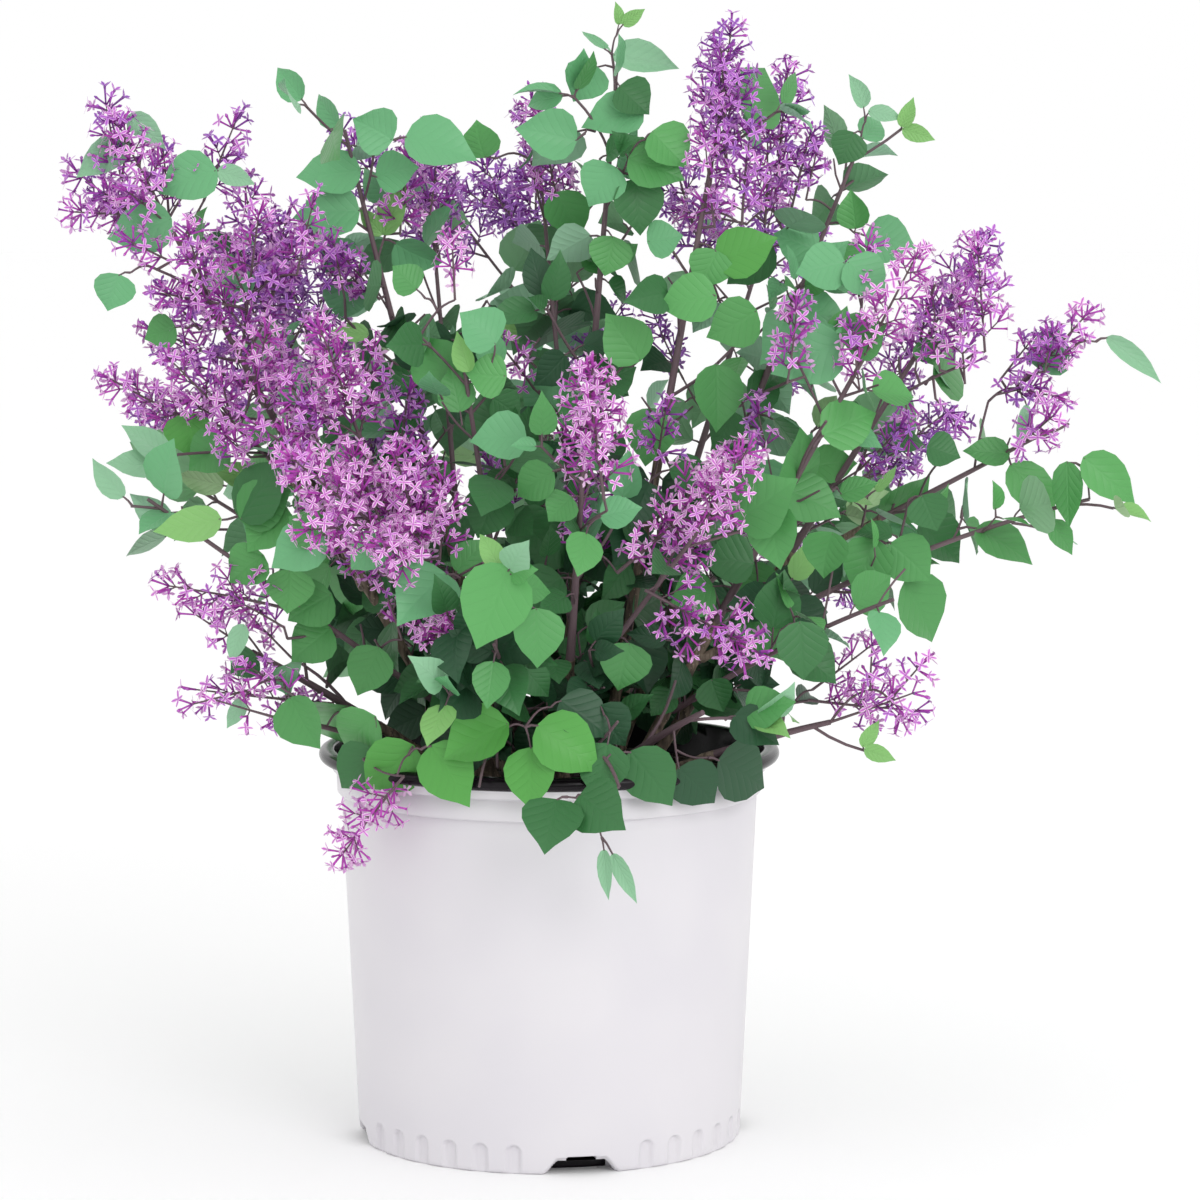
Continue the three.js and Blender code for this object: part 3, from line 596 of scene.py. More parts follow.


# A spray's RIM tint is painted light; its DEEP and SHADE tints, as on lip_right, lip_far_right, under_lip and
# behind_lip, are painted shade.
LEAF_SPRAYS = (
    Spray("lip", ((509, 723, 441, 757), (537, 725, 602, 768), (414, 745, 363, 793)), LeafTint.RIM, (139, 149)),
    Spray("lip_front", ((431, 745, 465, 805), (531, 747, 529, 810)), LeafTint.RIM, (140, 152)),
    Spray("lip_left", ((350, 706, 298, 740), (376, 716, 336, 753)), LeafTint.FRESH, (139, 147)),
    Spray("lip_right", ((608, 743, 593, 797), (630, 751, 672, 808), (372, 748, 338, 790)), LeafTint.DEEP, (140, 151)),
    Spray("lip_far_right", ((678, 768, 716, 806), (718, 760, 768, 789)), LeafTint.SHADE, (141, 149)),
    Spray("under_lip", ((557, 799, 545, 847), (580, 794, 620, 826)), LeafTint.DEEP, (176, 214)),
    Spray("behind_lip", ((560, 700, 612, 735), (600, 705, 622, 747)), LeafTint.SHADE, (129, 138)),
    Spray("drooping", ((604, 849, 607, 900), (612, 853, 637, 904)), LeafTint.GREY, (176, 184)),
    Spray("front", ((508, 564, 476, 649), (641, 361, 607, 314), (507, 376, 466, 372)), LeafTint.FRESH),
    Spray("front_low", ((537, 608, 540, 668), (630, 643, 620, 691), (714, 586, 670, 602))),
    Spray("front_high", ((572, 497, 548, 521), (716, 364, 720, 432), (655, 408, 645, 466))),
    Spray("front_cool", ((559, 372, 527, 420), (527, 439, 471, 437), (496, 344, 461, 312)), LeafTint.COOL),
    Spray("front_deep", ((496, 490, 477, 538), (754, 564, 702, 557), (711, 679, 723, 712)), LeafTint.DEEP),
    Spray("front_tip", ((469, 372, 456, 332),), LeafTint.YOUNG),
    Spray("right_front", ((767, 503, 779, 570), (783, 489, 842, 514), (781, 577, 733, 603), (744, 612, 790, 656))),
    Spray("right_deep", ((800, 621, 805, 680), (927, 446, 961, 455), (922, 495, 937, 531)), LeafTint.DEEP),
    Spray("right_back", ((757, 310, 708, 338), (717, 296, 659, 303), (717, 250, 701, 288)), LeafTint.FRESH),
    Spray("right_sunlit", ((717, 264, 776, 236),), LeafTint.RIM),
    Spray("right_tall", ((845, 262, 796, 272), (847, 261, 887, 294), (818, 250, 776, 231)), LeafTint.COOL),
    Spray("right_upper", ((865, 236, 916, 247), (1069, 352, 1025, 358)), LeafTint.COOL),
    Spray("right_among", ((845, 345, 886, 324), (922, 339, 936, 365))),
    Spray("right_tip", ((868, 111, 903, 117), (864, 108, 850, 74)), LeafTint.GREY),
    Spray("right_tall_end", ((854, 132, 840, 165),), LeafTint.DEEP),
    Spray("right_outer_tip", ((1106, 337, 1164, 379), (1027, 404, 1018, 452)), LeafTint.GREY, width=0.55),
    Spray(
        "right_leafy", ((1010, 464, 1059, 519), (1083, 457, 1138, 501), (856, 229, 850, 190)), LeafTint.FRESH, width=0.76
    ),
    Spray("right_leafy_mid", ((1067, 461, 1068, 528), (1010, 454, 964, 449), (840, 495, 877, 481)), width=0.6),
    Spray("right_low_leaf", ((833, 532, 820, 577), (876, 539, 854, 592), (890, 543, 930, 581))),
    Spray("far_left_tips", ((130, 140, 76, 177), (128, 115, 166, 145), (217, 170, 255, 184)), LeafTint.GREY),
    Spray("far_left", ((172, 219, 107, 238), (217, 170, 158, 190), (119, 274, 108, 311)), LeafTint.COOL),
    Spray("left", ((176, 327, 144, 338), (228, 444, 187, 467))),
    Spray("left_sunlit", ((190, 413, 192, 459),), LeafTint.RIM),
    Spray("tall_left_top", ((393, 140, 353, 119), (361, 170, 296, 175), (376, 178, 417, 164)), LeafTint.COOL),
    Spray("tall_left", ((405, 137, 477, 152), (360, 211, 294, 214), (349, 268, 322, 240)), LeafTint.COOL),
    Spray("tall_left_tip", ((383, 235, 404, 180), (383, 235, 359, 208), (369, 334, 329, 331)), LeafTint.YOUNG),
    Spray("tall_left_mid", ((417, 290, 394, 265), (628, 158, 685, 177), (556, 192, 581, 239))),
    Spray("tall_centre", ((597, 66, 573, 101), (644, 113, 582, 121), (577, 141, 516, 128)), LeafTint.COOL),
    Spray("tall_centre_low", ((616, 167, 587, 204), (647, 242, 682, 234), (349, 279, 341, 321)), LeafTint.COOL),
    Spray("tall_centre_deep", ((619, 86, 650, 113), (636, 178, 643, 234)), LeafTint.DEEP),
    Spray("tall_centre_fresh", ((485, 158, 475, 121), (652, 131, 689, 166), (613, 236, 605, 276)), LeafTint.FRESH),
    Spray("tall_centre_side", ((613, 55, 679, 66),), LeafTint.GREY),
    Spray("tall_centre_tip", ((619, 25, 618, 2), (622, 25, 645, 9), (492, 312, 519, 343)), LeafTint.YOUNG),
    Spray("left_shoot", ((168, 460, 124, 424), (164, 464, 106, 462)), LeafTint.GREY),
    Spray("left_shoot_tip", ((222, 519, 153, 531),), LeafTint.YOUNG),
    Spray("left_low_deep", ((240, 520, 283, 457), (257, 656, 230, 674)), LeafTint.DEEP),
    Spray("left_low", ((240, 520, 290, 486), (324, 536, 290, 516), (332, 594, 287, 619), (331, 628, 290, 660))),
    Spray("left_low_fresh", ((287, 507, 245, 550), (264, 555, 229, 582), (290, 569, 288, 614)), LeafTint.FRESH),
    Spray("left_low_cool", ((324, 535, 270, 564),), LeafTint.COOL),
    Spray("left_low_tips", ((244, 624, 229, 663), (244, 699, 226, 728)), LeafTint.GREY),
    Spray("left_inside", ((290, 697, 318, 750), (379, 647, 356, 695))),
    Spray("right_tall_top", ((902, 129, 935, 140), (901, 127, 914, 98)), LeafTint.YOUNG),
    Spray("low_right_tip", ((864, 749, 896, 760), (862, 747, 880, 722)), LeafTint.YOUNG),
)
HEAD_SPRAYS = (
    Spray("far_left", ((122, 180, 100, 96), (134, 214, 66, 214), (172, 262, 122, 238), (200, 330, 160, 285))),
    Spray("upper_left", ((297, 275, 312, 192), (240, 307, 150, 292), (247, 383, 160, 350), (345, 300, 332, 236))),
    Spray("left_mid", ((262, 420, 168, 408), (260, 350, 215, 290), (300, 420, 285, 350))),
    Spray("left_inner", ((338, 400, 314, 318), (352, 420, 378, 340), (320, 446, 284, 372), (380, 520, 350, 450))),
    Spray("front_left", ((432, 648, 422, 545), (424, 552, 412, 440), (405, 560, 385, 470), (440, 560, 445, 470))),
    Spray("front_left_low", ((402, 640, 377, 560), (377, 560, 352, 480))),
    Spray("back_left", ((440, 262, 420, 140), (380, 300, 340, 250), (400, 235, 405, 150), (455, 300, 452, 235))),
    Spray("back_mid", ((560, 215, 536, 100), (372, 300, 338, 262), (350, 285, 303, 226), (430, 215, 440, 150))),
    Spray("top_right", ((726, 171, 727, 32), (777, 186, 786, 60), (806, 200, 818, 140), (747, 224, 674, 208))),
    Spray("top_right_low", ((715, 228, 700, 130), (742, 225, 746, 118), (765, 225, 772, 125), (790, 215, 812, 125))),
    Spray("right_mid", ((787, 384, 803, 296), (905, 388, 908, 446), (915, 372, 925, 300), (860, 392, 850, 322))),
    Spray("right_far", ((965, 384, 958, 290), (985, 352, 977, 238), (935, 398, 962, 428), (940, 372, 932, 290))),
    Spray("right_outer", ((1016, 388, 1062, 400), (1029, 379, 1094, 306), (1000, 380, 1032, 338))),
    Spray("right_outer_low", ((1045, 372, 1050, 330), (995, 395, 1040, 385))),
    Spray("centre_front", ((604, 500, 588, 358), (617, 573, 757, 456), (668, 520, 700, 560))),
    Spray("front_right", ((645, 590, 774, 660),)),
    Spray("low_left", ((285, 608, 156, 578), (285, 628, 240, 600))),
    Spray("low_left_front", ((334, 704, 180, 690), (300, 700, 240, 660), (320, 700, 270, 720), (250, 690, 185, 705))),
    Spray("rim_left", ((404, 776, 334, 858),), drum=(152, 160)),
    Spray("low_right", ((808, 700, 930, 716), (812, 690, 880, 640), (870, 690, 872, 640), (890, 700, 925, 660))),
)


@dataclass
class Head:
    """The space and stalk of one flower head."""

    SLIMNESS = 0.34
    TIERS = np.array([[0.2, 1], [0.45, 0.5], [0.62, 0.74], [1, 0]])

    root: Array
    along: Array
    length: float

    @property
    def radius(self) -> float:
        """Returns its greatest radius."""
        return self.length * self.SLIMNESS

    @property
    def tip(self) -> Array:
        """Returns its top."""
        return self.root + self.along * self.length

    def samples(self) -> Array:
        """Returns points on its tiers and halfway between them."""
        below = np.vstack([[0, 0], self.TIERS[:-1]])
        u, _ = across(self.along)
        v = np.cross(self.along, u)
        turns = np.arange(8) * math.pi / 4
        ring = np.outer(np.cos(turns), u) + np.outer(np.sin(turns), v)
        tiers = np.vstack([self.TIERS, (self.TIERS + below) / 2])
        return np.vstack([self.root + self.along * self.length * s + ring * self.radius * w for s, w in tiers])


@dataclass
class Blade:
    """A leaf's lozenge in the solids: where it starts, how it runs and which way it faces."""

    WIDTH = 0.68
    BEND = 0.14
    SHARES = (0.14, 0.32, 0.5, 0.66, 0.82, 1)

    root: Array
    along: Array
    face: Array
    length: float
    young: bool = False

    def samples(self) -> Array:
        """Returns points all over the blade."""
        side = np.cross(self.along, self.face)
        points = []
        for share in self.SHARES:
            past = max(0.0, share - 0.5) / 0.5
            wide = share / 0.5 if share < 0.5 else 1 - past
            middle = self.root + self.along * self.length * share - self.face * self.length * self.BEND * past
            for half in (-1, -0.5, 0, 0.5, 1):
                points.append(middle + side * self.length * self.WIDTH * wide * half / 2)
        return np.array(points)


@dataclass
class Stem:
    """A stretch of stem: points, the way it runs at each, and radii."""

    points: Array
    ways: Array
    radii: Array
    head: Head | None = None

    def place(self, share: float) -> tuple[Array, Array]:
        """Finds a place on the stem.

        Args:
            share: How far along it, by its steps.

        Returns:
            The point there and the way the stem runs.
        """
        steps = len(self.points) - 1
        i = min(int(share * steps), steps - 1)
        at = self.points[i] + (self.points[i + 1] - self.points[i]) * (share * steps - i)
        return at, unit(self.points[i + 1] - self.points[i])

    def length(self) -> float:
        """Returns how long the stem is."""
        return float(np.linalg.norm(np.diff(self.points, axis=0), axis=1).sum())


class Shoot:
    """One shoot of the clump: a curve whose bare lower part is a limb and whose upper part carries foliage."""

    SOIL_TOP = 222.0
    CLEAR = 0.3
    CANE_RADIUS = 4.4
    BOUGH_RADIUS = 2.7
    TIP_RADIUS = 1.7
    FLARE = 1.55
    FLARE_HEIGHT = 12.0
    LIMB_STEP = 48.0
    STEM_STEP = 80.0
    TIP_LENGTH = {True: 74.0, False: 34.0}

    def __init__(self, spec: ShootSpec, index: int, parent: "Shoot | None") -> None:
        """Works out the shoot's curve.

        Args:
            spec: Its sizes.
            index: Its place in the list of shoots, which seeds its growth.
            parent: The shoot that it leaves, for a bough.
        """
        self.spec = spec
        self.index = index
        self.parent = parent
        self.flowering = spec.bloom > 0.5
        angle = math.radians(spec.bearing)
        self.tip = np.array([spec.reach * math.cos(angle), spec.reach * math.sin(angle), spec.height])
        if parent:
            along = parent.way(spec.fork)
            at = parent.point(spec.fork)
            self.cut = squared((self.tip - at) * LEVEL, along)
            self.start = at + self.cut * (parent.radius(spec.fork) + self.CLEAR)
            self.start_radius = min(self.BOUGH_RADIUS, parent.radius(spec.fork) * 0.8)
        else:
            self.cut = UP
            self.start = np.array([*spec.foot, self.SOIL_TOP + self.CLEAR])
            self.start_radius = self.CANE_RADIUS
        rise = self.tip[2] - self.start[2]
        out = (self.tip - self.start) * LEVEL
        self.middle = self.start + out * spec.lean + UP * (rise / 2 + spec.bow)
        chords = np.diff([self.point(t) for t in np.linspace(0, 1, 201)], axis=0)
        self.length = float(np.linalg.norm(chords, axis=1).sum())
        self.stem_end = 1 - self.TIP_LENGTH[self.flowering] / self.length

    def point(self, share: float) -> Array:
        """Returns the point at a share of the curve."""
        rest = 1 - share
        return rest * rest * self.start + 2 * rest * share * self.middle + share * share * self.tip

    def way(self, share: float) -> Array:
        """Returns the direction of the curve at a share of it."""
        return unit(self.point(min(share + 1e-4, 1)) - self.point(max(share - 1e-4, 0)))

    def radius(self, share: float) -> float:
        """Returns the stem's radius at a share of the curve."""
        return self.start_radius + (self.TIP_RADIUS - self.start_radius) * share

    def stretch(self, shares: list[float]) -> Stem:
        """Returns the stretch of stem through the given shares."""
        points = np.array([self.point(t) for t in shares])
        ways = np.array([self.way(t) for t in shares])
        return Stem(points, ways, np.array([self.radius(t) for t in shares]))

    def limb(self) -> Stem:
        """Returns the bare lower part as its solid has it."""
        bare = self.spec.bare
        steps = max(2, whole(self.length * bare / self.LIMB_STEP))
        shares = [bare * i / steps for i in range(steps + 1)]
        if not self.parent:
            shares.insert(1, self.FLARE_HEIGHT / self.length)
        stem = self.stretch(shares)
        if not self.parent:
            stem.radii[0] *= self.FLARE
        return stem

    def main_stem(self) -> Stem:
        """Returns the stem inside the foliage as its solid has it."""
        begin = self.spec.bare + self.CLEAR / self.length if self.spec.bare > 0 else 0
        steps = max(2, whole(self.length * (self.stem_end - begin) / self.STEM_STEP))
        return self.stretch([begin + (self.stem_end - begin) * i / steps for i in range(steps + 1)])


def make_shoots() -> list[Shoot]:
    """Returns every shoot, each made after the one it leaves."""
    places = {spec.name: i for i, spec in enumerate(SHOOTS)}
    made: dict[str, Shoot] = {}

    def make(spec: ShootSpec) -> Shoot:
        """Makes one shoot and, before it, its parent."""
        if spec.name not in made:
            parent = make(SHOOTS[places[spec.parent]]) if spec.parent else None
            made[spec.name] = Shoot(spec, places[spec.name], parent)
        return made[spec.name]

    return [make(spec) for spec in SHOOTS]


@dataclass(frozen=True)
class Margins:
    """How far growth keeps from its neighbours. A growth of the solids keeps further off than a fine leaf."""

    cell: float = 1.2
    limb: float = 4.0
    lip: float = 9.0
    wall: float = 6.0
    soil: float = 2.0
    crown: float = 0.0


SOLID_MARGINS = Margins()
FINE_MARGINS = Margins(cell=-7.0, limb=0.5, lip=6.0, wall=2.0, soil=1.0, crown=6.0)
BLOOM_MARGINS = Margins(cell=-16.0, limb=0.5, lip=6.0, wall=2.0, soil=1.0, crown=4.0)
LOOSE_MARGINS = Margins(cell=-400.0, limb=0.5, lip=6.0, wall=2.0, soil=1.0, crown=0.0)


class Room:
    """The space that each shoot's foliage keeps to."""

    LOW = np.array([-298.0, -232.0, 0.0])
    HIGH = np.array([373.0, 276.0, 690.0])

    def __init__(self, shoots: list[Shoot]) -> None:
        """Gathers the shoots' axes and limbs as straight segments.

        Args:
            shoots: Every shoot, in order.
        """
        lines = [np.vstack([s.main_stem().points, s.tip]) for s in shoots]
        self.starts = np.vstack([line[:-1] for line in lines])
        self.ends = np.vstack([line[1:] for line in lines])
        self.first = np.cumsum([0] + [len(line) - 1 for line in lines[:-1]])
        limbs = [s.limb() for s in shoots if s.spec.bare > 0]
        self.limb_starts = np.vstack([limb.points[:-1] for limb in limbs])
        self.limb_ends = np.vstack([limb.points[1:] for limb in limbs])
        self.limb_radii = np.concatenate([limb.radii[:-1] for limb in limbs])

    def holds(self, points: Array, shoot: Shoot, margins: Margins) -> bool:
        """Tells whether points are all in a shoot's own space.

        Args:
            points: One point a row.
            shoot: The shoot that they grow on.
            margins: How far they keep from what is round them.

        Returns:
            True if nothing is in their way.
        """
        if np.any(points[:, :2] <= self.LOW[:2] - margins.crown) or np.any(points >= self.HIGH + margins.crown):
            return False
        if not self.clear_of_pot(points, margins):
            return False
        off = segment_distances(points, self.limb_starts, self.limb_ends) - self.limb_radii
        if off.min() <= margins.limb:
            return False
        nearest = np.minimum.reduceat(segment_distances(points, self.starts, self.ends), self.first, axis=1)
        own = nearest[:, shoot.index] + 2 * margins.cell
        nearest[:, shoot.index] = np.inf
        return bool(np.all(nearest.min(axis=1) > own))

    def clear_of_pot(self, points: Array, margins: Margins) -> bool:
        """Tells whether points are clear of the pot and of what fills it."""
        radius = np.hypot(points[:, 0], points[:, 1])
        height = points[:, 2]
        off_lip = np.hypot(radius - 135.75, height - 236.5) >= margins.lip
        outside = (radius > 136.5) & (radius > 132.5 + margins.wall)
        inside = (radius <= 136.5) & (radius < 124 - margins.wall) & (height > 222 + margins.soil)
        return bool(np.all(off_lip & ((height > 240) | outside | inside)))


class Mass:
    """The foliage of one shoot as its solid has it: a twig and a leaf at each node, and a head or young leaves on each end."""

    INTERNODE = 36.0
    LEAF = (58.0, 80.0)
    YOUNG_SHARE = 0.66
    HEAD = (66.0, 100.0)
    TWIG_TIP = 1.1

    def __init__(self, shoot: Shoot, room: Room) -> None:
        """Grows the mass.

        Args:
            shoot: The shoot that carries it.
            room: The space that it keeps to.
        """
        self.shoot = shoot
        self.room = room
        self.chance = Seeded(7919 * (shoot.index + 1))
        self.twigs: list[Stem] = []
        self.leaves: list[Blade] = []
        self.heights: list[float] = []
        self.main = shoot.main_stem()
        self.grow()

    def grow(self) -> None:
        """Grows a twig and a leaf at each node up the stem, each node a quarter turn on."""
        shoot, chance = self.shoot, self.chance
        leafy = shoot.stem_end - shoot.spec.bare
        nodes = max(2, whole(shoot.length * leafy / self.INTERNODE))
        turn = chance.between(0, 2 * math.pi)
        self.nodes: list[tuple[Array, Array, float, float]] = []
        for k in range(nodes):
            share = (k + 0.7) / nodes
            radius = shoot.radius(shoot.spec.bare + leafy * share)
            at, along = self.main.place(share)
            turn += math.pi / 2 + chance.between(-0.3, 0.3)
            self.nodes.append((at, along, turn, k / nodes))
            sides = [outward(along, turn), outward(along, turn + math.pi)]
            near, far = sides if k % 2 == 0 else sides[::-1]
            self.grow_twig(at, along, radius, k / nodes, near)
            self.grow_leaf(at, along, far)
        self.finish(self.main, shoot.flowering, 74.0)

    def grow_twig(self, at: Array, along: Array, radius: float, height: float, out: Array) -> None:
        """Grows a twig, shortened until it fits.

        Args:
            at: Its node.
            along: The way the stem runs there.
            radius: The stem's radius there.
            height: How far up the foliage the node is, from 0 to 1.
            out: The side of the stem that it leaves on.
        """
        shoot, chance = self.shoot, self.chance
        length = shoot.spec.spread * (1 - 0.4 * height) * chance.between(0.8, 1.2)
        way = unit(along * chance.between(0.5, 0.9) + out * 0.9 + UP * shoot.spec.lift)
        flowers = shoot.spec.bloom > chance.next()
        head_length = chance.between(*self.HEAD)
        for shortened in (1, 0.75, 0.5):
            points = np.array([at + way * length * shortened * share for share in (0.3, 0.55, 0.8, 1)])
            if not self.room.holds(points, shoot, SOLID_MARGINS):
                continue
            thick = max(self.TWIG_TIP, radius * 0.45)
            twig = Stem(np.array([at, points[-1]]), np.array([way, way]), np.array([thick, self.TWIG_TIP]))
            self.twigs.append(twig)
            self.heights.append(height)
            self.finish(twig, flowers, head_length)
            self.grow_leaf(points[1], way, outward(way, chance.between(0, math.pi)))
            return
        self.grow_leaf(at, along, out)

    def grow_leaf(self, at: Array, along: Array, out: Array) -> None:
        """Grows a leaf that stands out and hangs a little, facing up and away from the bush."""
        chance = self.chance
        length = chance.between(*self.LEAF)
        droop = chance.between(0.05, 0.75)
        away = unit(at * LEVEL)
        direction = out + along * 0.35 - UP * droop + away * 0.25
        self.add_leaf(at, direction, UP * 0.7 + away * 0.6 + out * chance.between(-0.3, 0.3), length, False)

    def finish(self, stem: Stem, flowers: bool, head_length: float) -> None:
        """Ends a stem in a flower head, or in a pair of young leaves.

        Args:
            stem: The stem.
            flowers: Whether it carries a head where one fits.
            head_length: How long the head is at most.
        """
        end, way = stem.points[-1], stem.ways[-1]
        for shortened in (1, 0.82, 0.66) if flowers else ():
            head = Head(end, unit(way + UP * self.shoot.spec.lift * 0.3), head_length * shortened)
            if self.room.holds(head.samples(), self.shoot, SOLID_MARGINS):
                stem.head = head
                return
        turn = self.chance.between(0, math.pi)
        root = end - way * self.TWIG_TIP
        for out in (outward(way, turn), outward(way, turn + math.pi)):
            length = self.chance.between(*self.LEAF) * self.YOUNG_SHARE
            self.add_leaf(root, out * 0.7 + way * 0.8, UP * 0.6 - out * 0.5, length, True)

    def add_leaf(self, root: Array, direction: Array, facing: Array, length: float, young: bool) -> None:
        """Adds a leaf, tried smaller where it doesn't fit, and then left out."""
        along = unit(direction)
        face = squared(facing, along)
        for shortened in (1, 0.8, 0.62):
            blade = Blade(root, along, face, length * shortened, young)
            if self.room.holds(blade.samples(), self.shoot, SOLID_MARGINS):
                self.leaves.append(blade)
                return


# ---------------------------------------------------------------- the finer growth


@dataclass
class Leaf:
    """A real leaf: a stalk and a broad blade that hangs from it."""

    base: Array
    along: Array
    face: Array
    length: float
    width: float
    tint: LeafTint
    form: int

    def frame(self) -> Array:
        """Returns the blade's placing, as three axes and a base in columns."""
        side = np.cross(self.along, self.face) * self.width
        return np.column_stack([side * self.length, self.along * self.length, self.face * self.length, self.base])


@dataclass
class Stalk:
    """A thin stem to draw: its points, its radii and its skin."""

    points: Array
    radii: Array
    finish: Finish


class Crown:
    """Everything that grows on the shoots, with the finer growth that the solids leave out."""

    LEAF_FORMS = 6
    FLAT_FORMS = (0, 2, 4)
    BLADE_SHARE = 0.64
    STALK_SHARE = 0.15
    LAVISH = ("far_left", "upper_left", "left_mid", "left_inner", "front_left")
    LAVISH_LEAVES = 0.28
    OTHER_LEAVES = 0.58
    INNER_LEAVES = 0.9
    SOLID_LEAVES = 0.25
    LEAFINESS = {
        "top_right": 0.15,
        "right_mid": 0.35,
        "right_outer": 0.3,
        "right_leafy": 0.25,
        "right_far": 0.3,
        "right_low_leaf": 0.35,
        "left_shoot": 0.12,
        "right_tall": 0.45,
        "low_left": 0.3,
        "low_left_front": 0.25,
        "low_right": 0.15,
        "rim_front": 0.0,
        "rim_centre": 0.0,
        "rim_left": 0.1,
    }
    HANGING = 236.0
    RIM_LEVEL = 262.0
    LOWEST_HEAD = {
        "top_right": 600.0,
        "right_outer": 470.0,
        "rim_left": 262.0,
        "front_right": 300.0,
        "low_right": 250.0,
    }
    HEAD_CORE = 0.8
    ABREAST = 21.0
    TWIG_REACH = 14.0

    def __init__(self) -> None:
        """Grows the whole bush."""
        self.shoots = make_shoots()
        self.room = Room(self.shoots)
        self.masses = [Mass(shoot, self.room) for shoot in self.shoots]
        self.leaves: dict[int, list[Leaf]] = {i: [] for i in range(len(self.shoots))}
        self.heads: dict[int, list[Head]] = {i: [] for i in range(len(self.shoots))}
        self.stalks: list[Stalk] = []
        self.wood = np.empty((0, 3))
        self.owners = np.empty(0, int)
        self.chances = [Seeded(104729 * (shoot.index + 1)) for shoot in self.shoots]
        for mass in self.masses:
            self.gather_heads(mass)
        for mass in self.masses:
            self.draw_wood(mass)
        self.frame_wood = self.wood
        self.place_heads()
        self.head_starts = np.array([h.root for heads in self.heads.values() for h in heads])
        self.head_ends = np.array([h.tip for heads in self.heads.values() for h in heads])
        self.head_radii = np.array([h.radius for heads in self.heads.values() for h in heads])
        self.place_leaves()
        for mass in self.masses:
            self.dress_solids(mass)
            self.dress_stem(mass)
            self.dress_twigs(mass)
            self.dress_limb(mass)

    def add_wood(self, points: Array, owner: int) -> None:
        """Notes points on wood that a leaf or a head can grow from."""
        self.wood = np.vstack([self.wood, points])
        self.owners = np.concatenate([self.owners, np.full(len(points), owner)])

    def reach_out(self, end: Array, skin: Finish, joint_gap: float) -> tuple[int, Array]:
        """Grows a curved twig from the nearest wood towards a place, if the wood isn't close to it already.

        Args:
            end: The place.
            skin: The twig's finish.
            joint_gap: How far before the place the twig ends.

        Returns:
            The number of the shoot that carries it, and the point that the place's own stalk starts from.
        """
        off = np.linalg.norm(self.wood - end, axis=1)
        nearest = int(off.argmin())
        owner, root, gap = int(self.owners[nearest]), self.wood[nearest], float(off[nearest])
        if gap <= self.TWIG_REACH:
            return owner, root
        joint = end + unit(root - end) * joint_gap
        shares = np.linspace(0, 1, 7)
        rise = UP * gap * 0.14 * (1 if end[2] > 250 else -0.5)
        curve = root + np.outer(shares, joint - root) + np.outer(np.sin(shares * math.pi), rise)
        self.stalks.append(Stalk(curve, np.linspace(0.85, 0.6, 7), skin))
        self.add_wood(curve[2:], owner)
        return owner, joint

    def located(self, spray: Spray, ahead: float, nod: float) -> list[tuple[Array, Array]]:
        """Finds where the leaves or heads of a spray stand.

        Args:
            spray: The spray.
            ahead: How far each stands in front of its wood.
            nod: How far each leans to the front, as a share of its length.

        Returns:
            The foot and the tip of each.
        """
        found = []
        for place in spray.places:
            foot, tip = place[:2], place[2:]
            if spray.drum:
                found.append((SIGHT.on_drum(foot, spray.drum[0]), SIGHT.on_drum(tip, spray.drum[1])))
                continue
            aside = np.linalg.norm(SIGHT.pixels(self.frame_wood) - foot, axis=1)
            cost = aside * 0.8 + self.frame_wood[:, 1] * 0.22 + np.where(aside > 60, 1000, 0)
            depth = float(self.frame_wood[cost.argmin(), 1]) - ahead
            base = SIGHT.on_plane(foot, depth)
            length = float(np.linalg.norm(SIGHT.on_plane(tip, depth) - base))
            found.append((base, SIGHT.on_plane(tip, depth - nod * length)))
        return found

    def place_heads(self) -> None:
        """Adds the flower heads that have a place of their own."""
        for spray in HEAD_SPRAYS:
            for root, tip in self.located(spray, 6.0, 0.12):
                owner, start = self.reach_out(root, FLOWER_STALK, 0.0)
                foot = np.array([start, root + (tip - root) * 0.02])
                self.stalks.append(Stalk(foot, np.array([0.9, 0.8]), FLOWER_STALK))
                self.heads[owner].append(Head(root, unit(tip - root), float(np.linalg.norm(tip - root))))

    def place_leaves(self) -> None:
        """Adds the leaves that have a place of their own, turned to the front."""
        chance = Seeded(6101)
        middles = []
        for spray in LEAF_SPRAYS:
            tint = spray.tint
            for base, tip in self.located(spray, 4.0, 0.16):
                owner, root = self.reach_out(base, TWIG_BARK, 7.0)
                along = unit(tip - base)
                blade = float(np.linalg.norm(tip - base))
                face = squared(np.array([chance.between(-0.5, 0.5), -1.0, chance.between(0.1, 0.6)]), along)
                width = min(max(37 / blade, 0.95), 1.3)
                if tint in (LeafTint.GREY, LeafTint.YOUNG):
                    width = 0.62 if base[2] > 205 else 0.36
                width *= spray.width
                form = chance.pick(self.FLAT_FORMS) if base[2] < 270 else int(chance.next() * self.LEAF_FORMS)
                self.leaves[owner].append(Leaf(base, along, face, blade, width, tint, form))
                self.hold_leaf(root, base, along, blade)
                middles.append((base + tip) / 2)
        self.placed = np.array(middles)

    def hold_leaf(self, root: Array, base: Array, along: Array, blade: float) -> None:
        """Draws the stalk that holds a blade."""
        knee = (root + base) / 2 + UP * float(np.linalg.norm(base - root)) * 0.08
        thick = 0.42 + blade * 0.008
        self.stalks.append(
            Stalk(np.array([root, knee, base + along]), np.array([thick * 1.3, thick, thick * 0.8]), GREEN_STALK)
        )

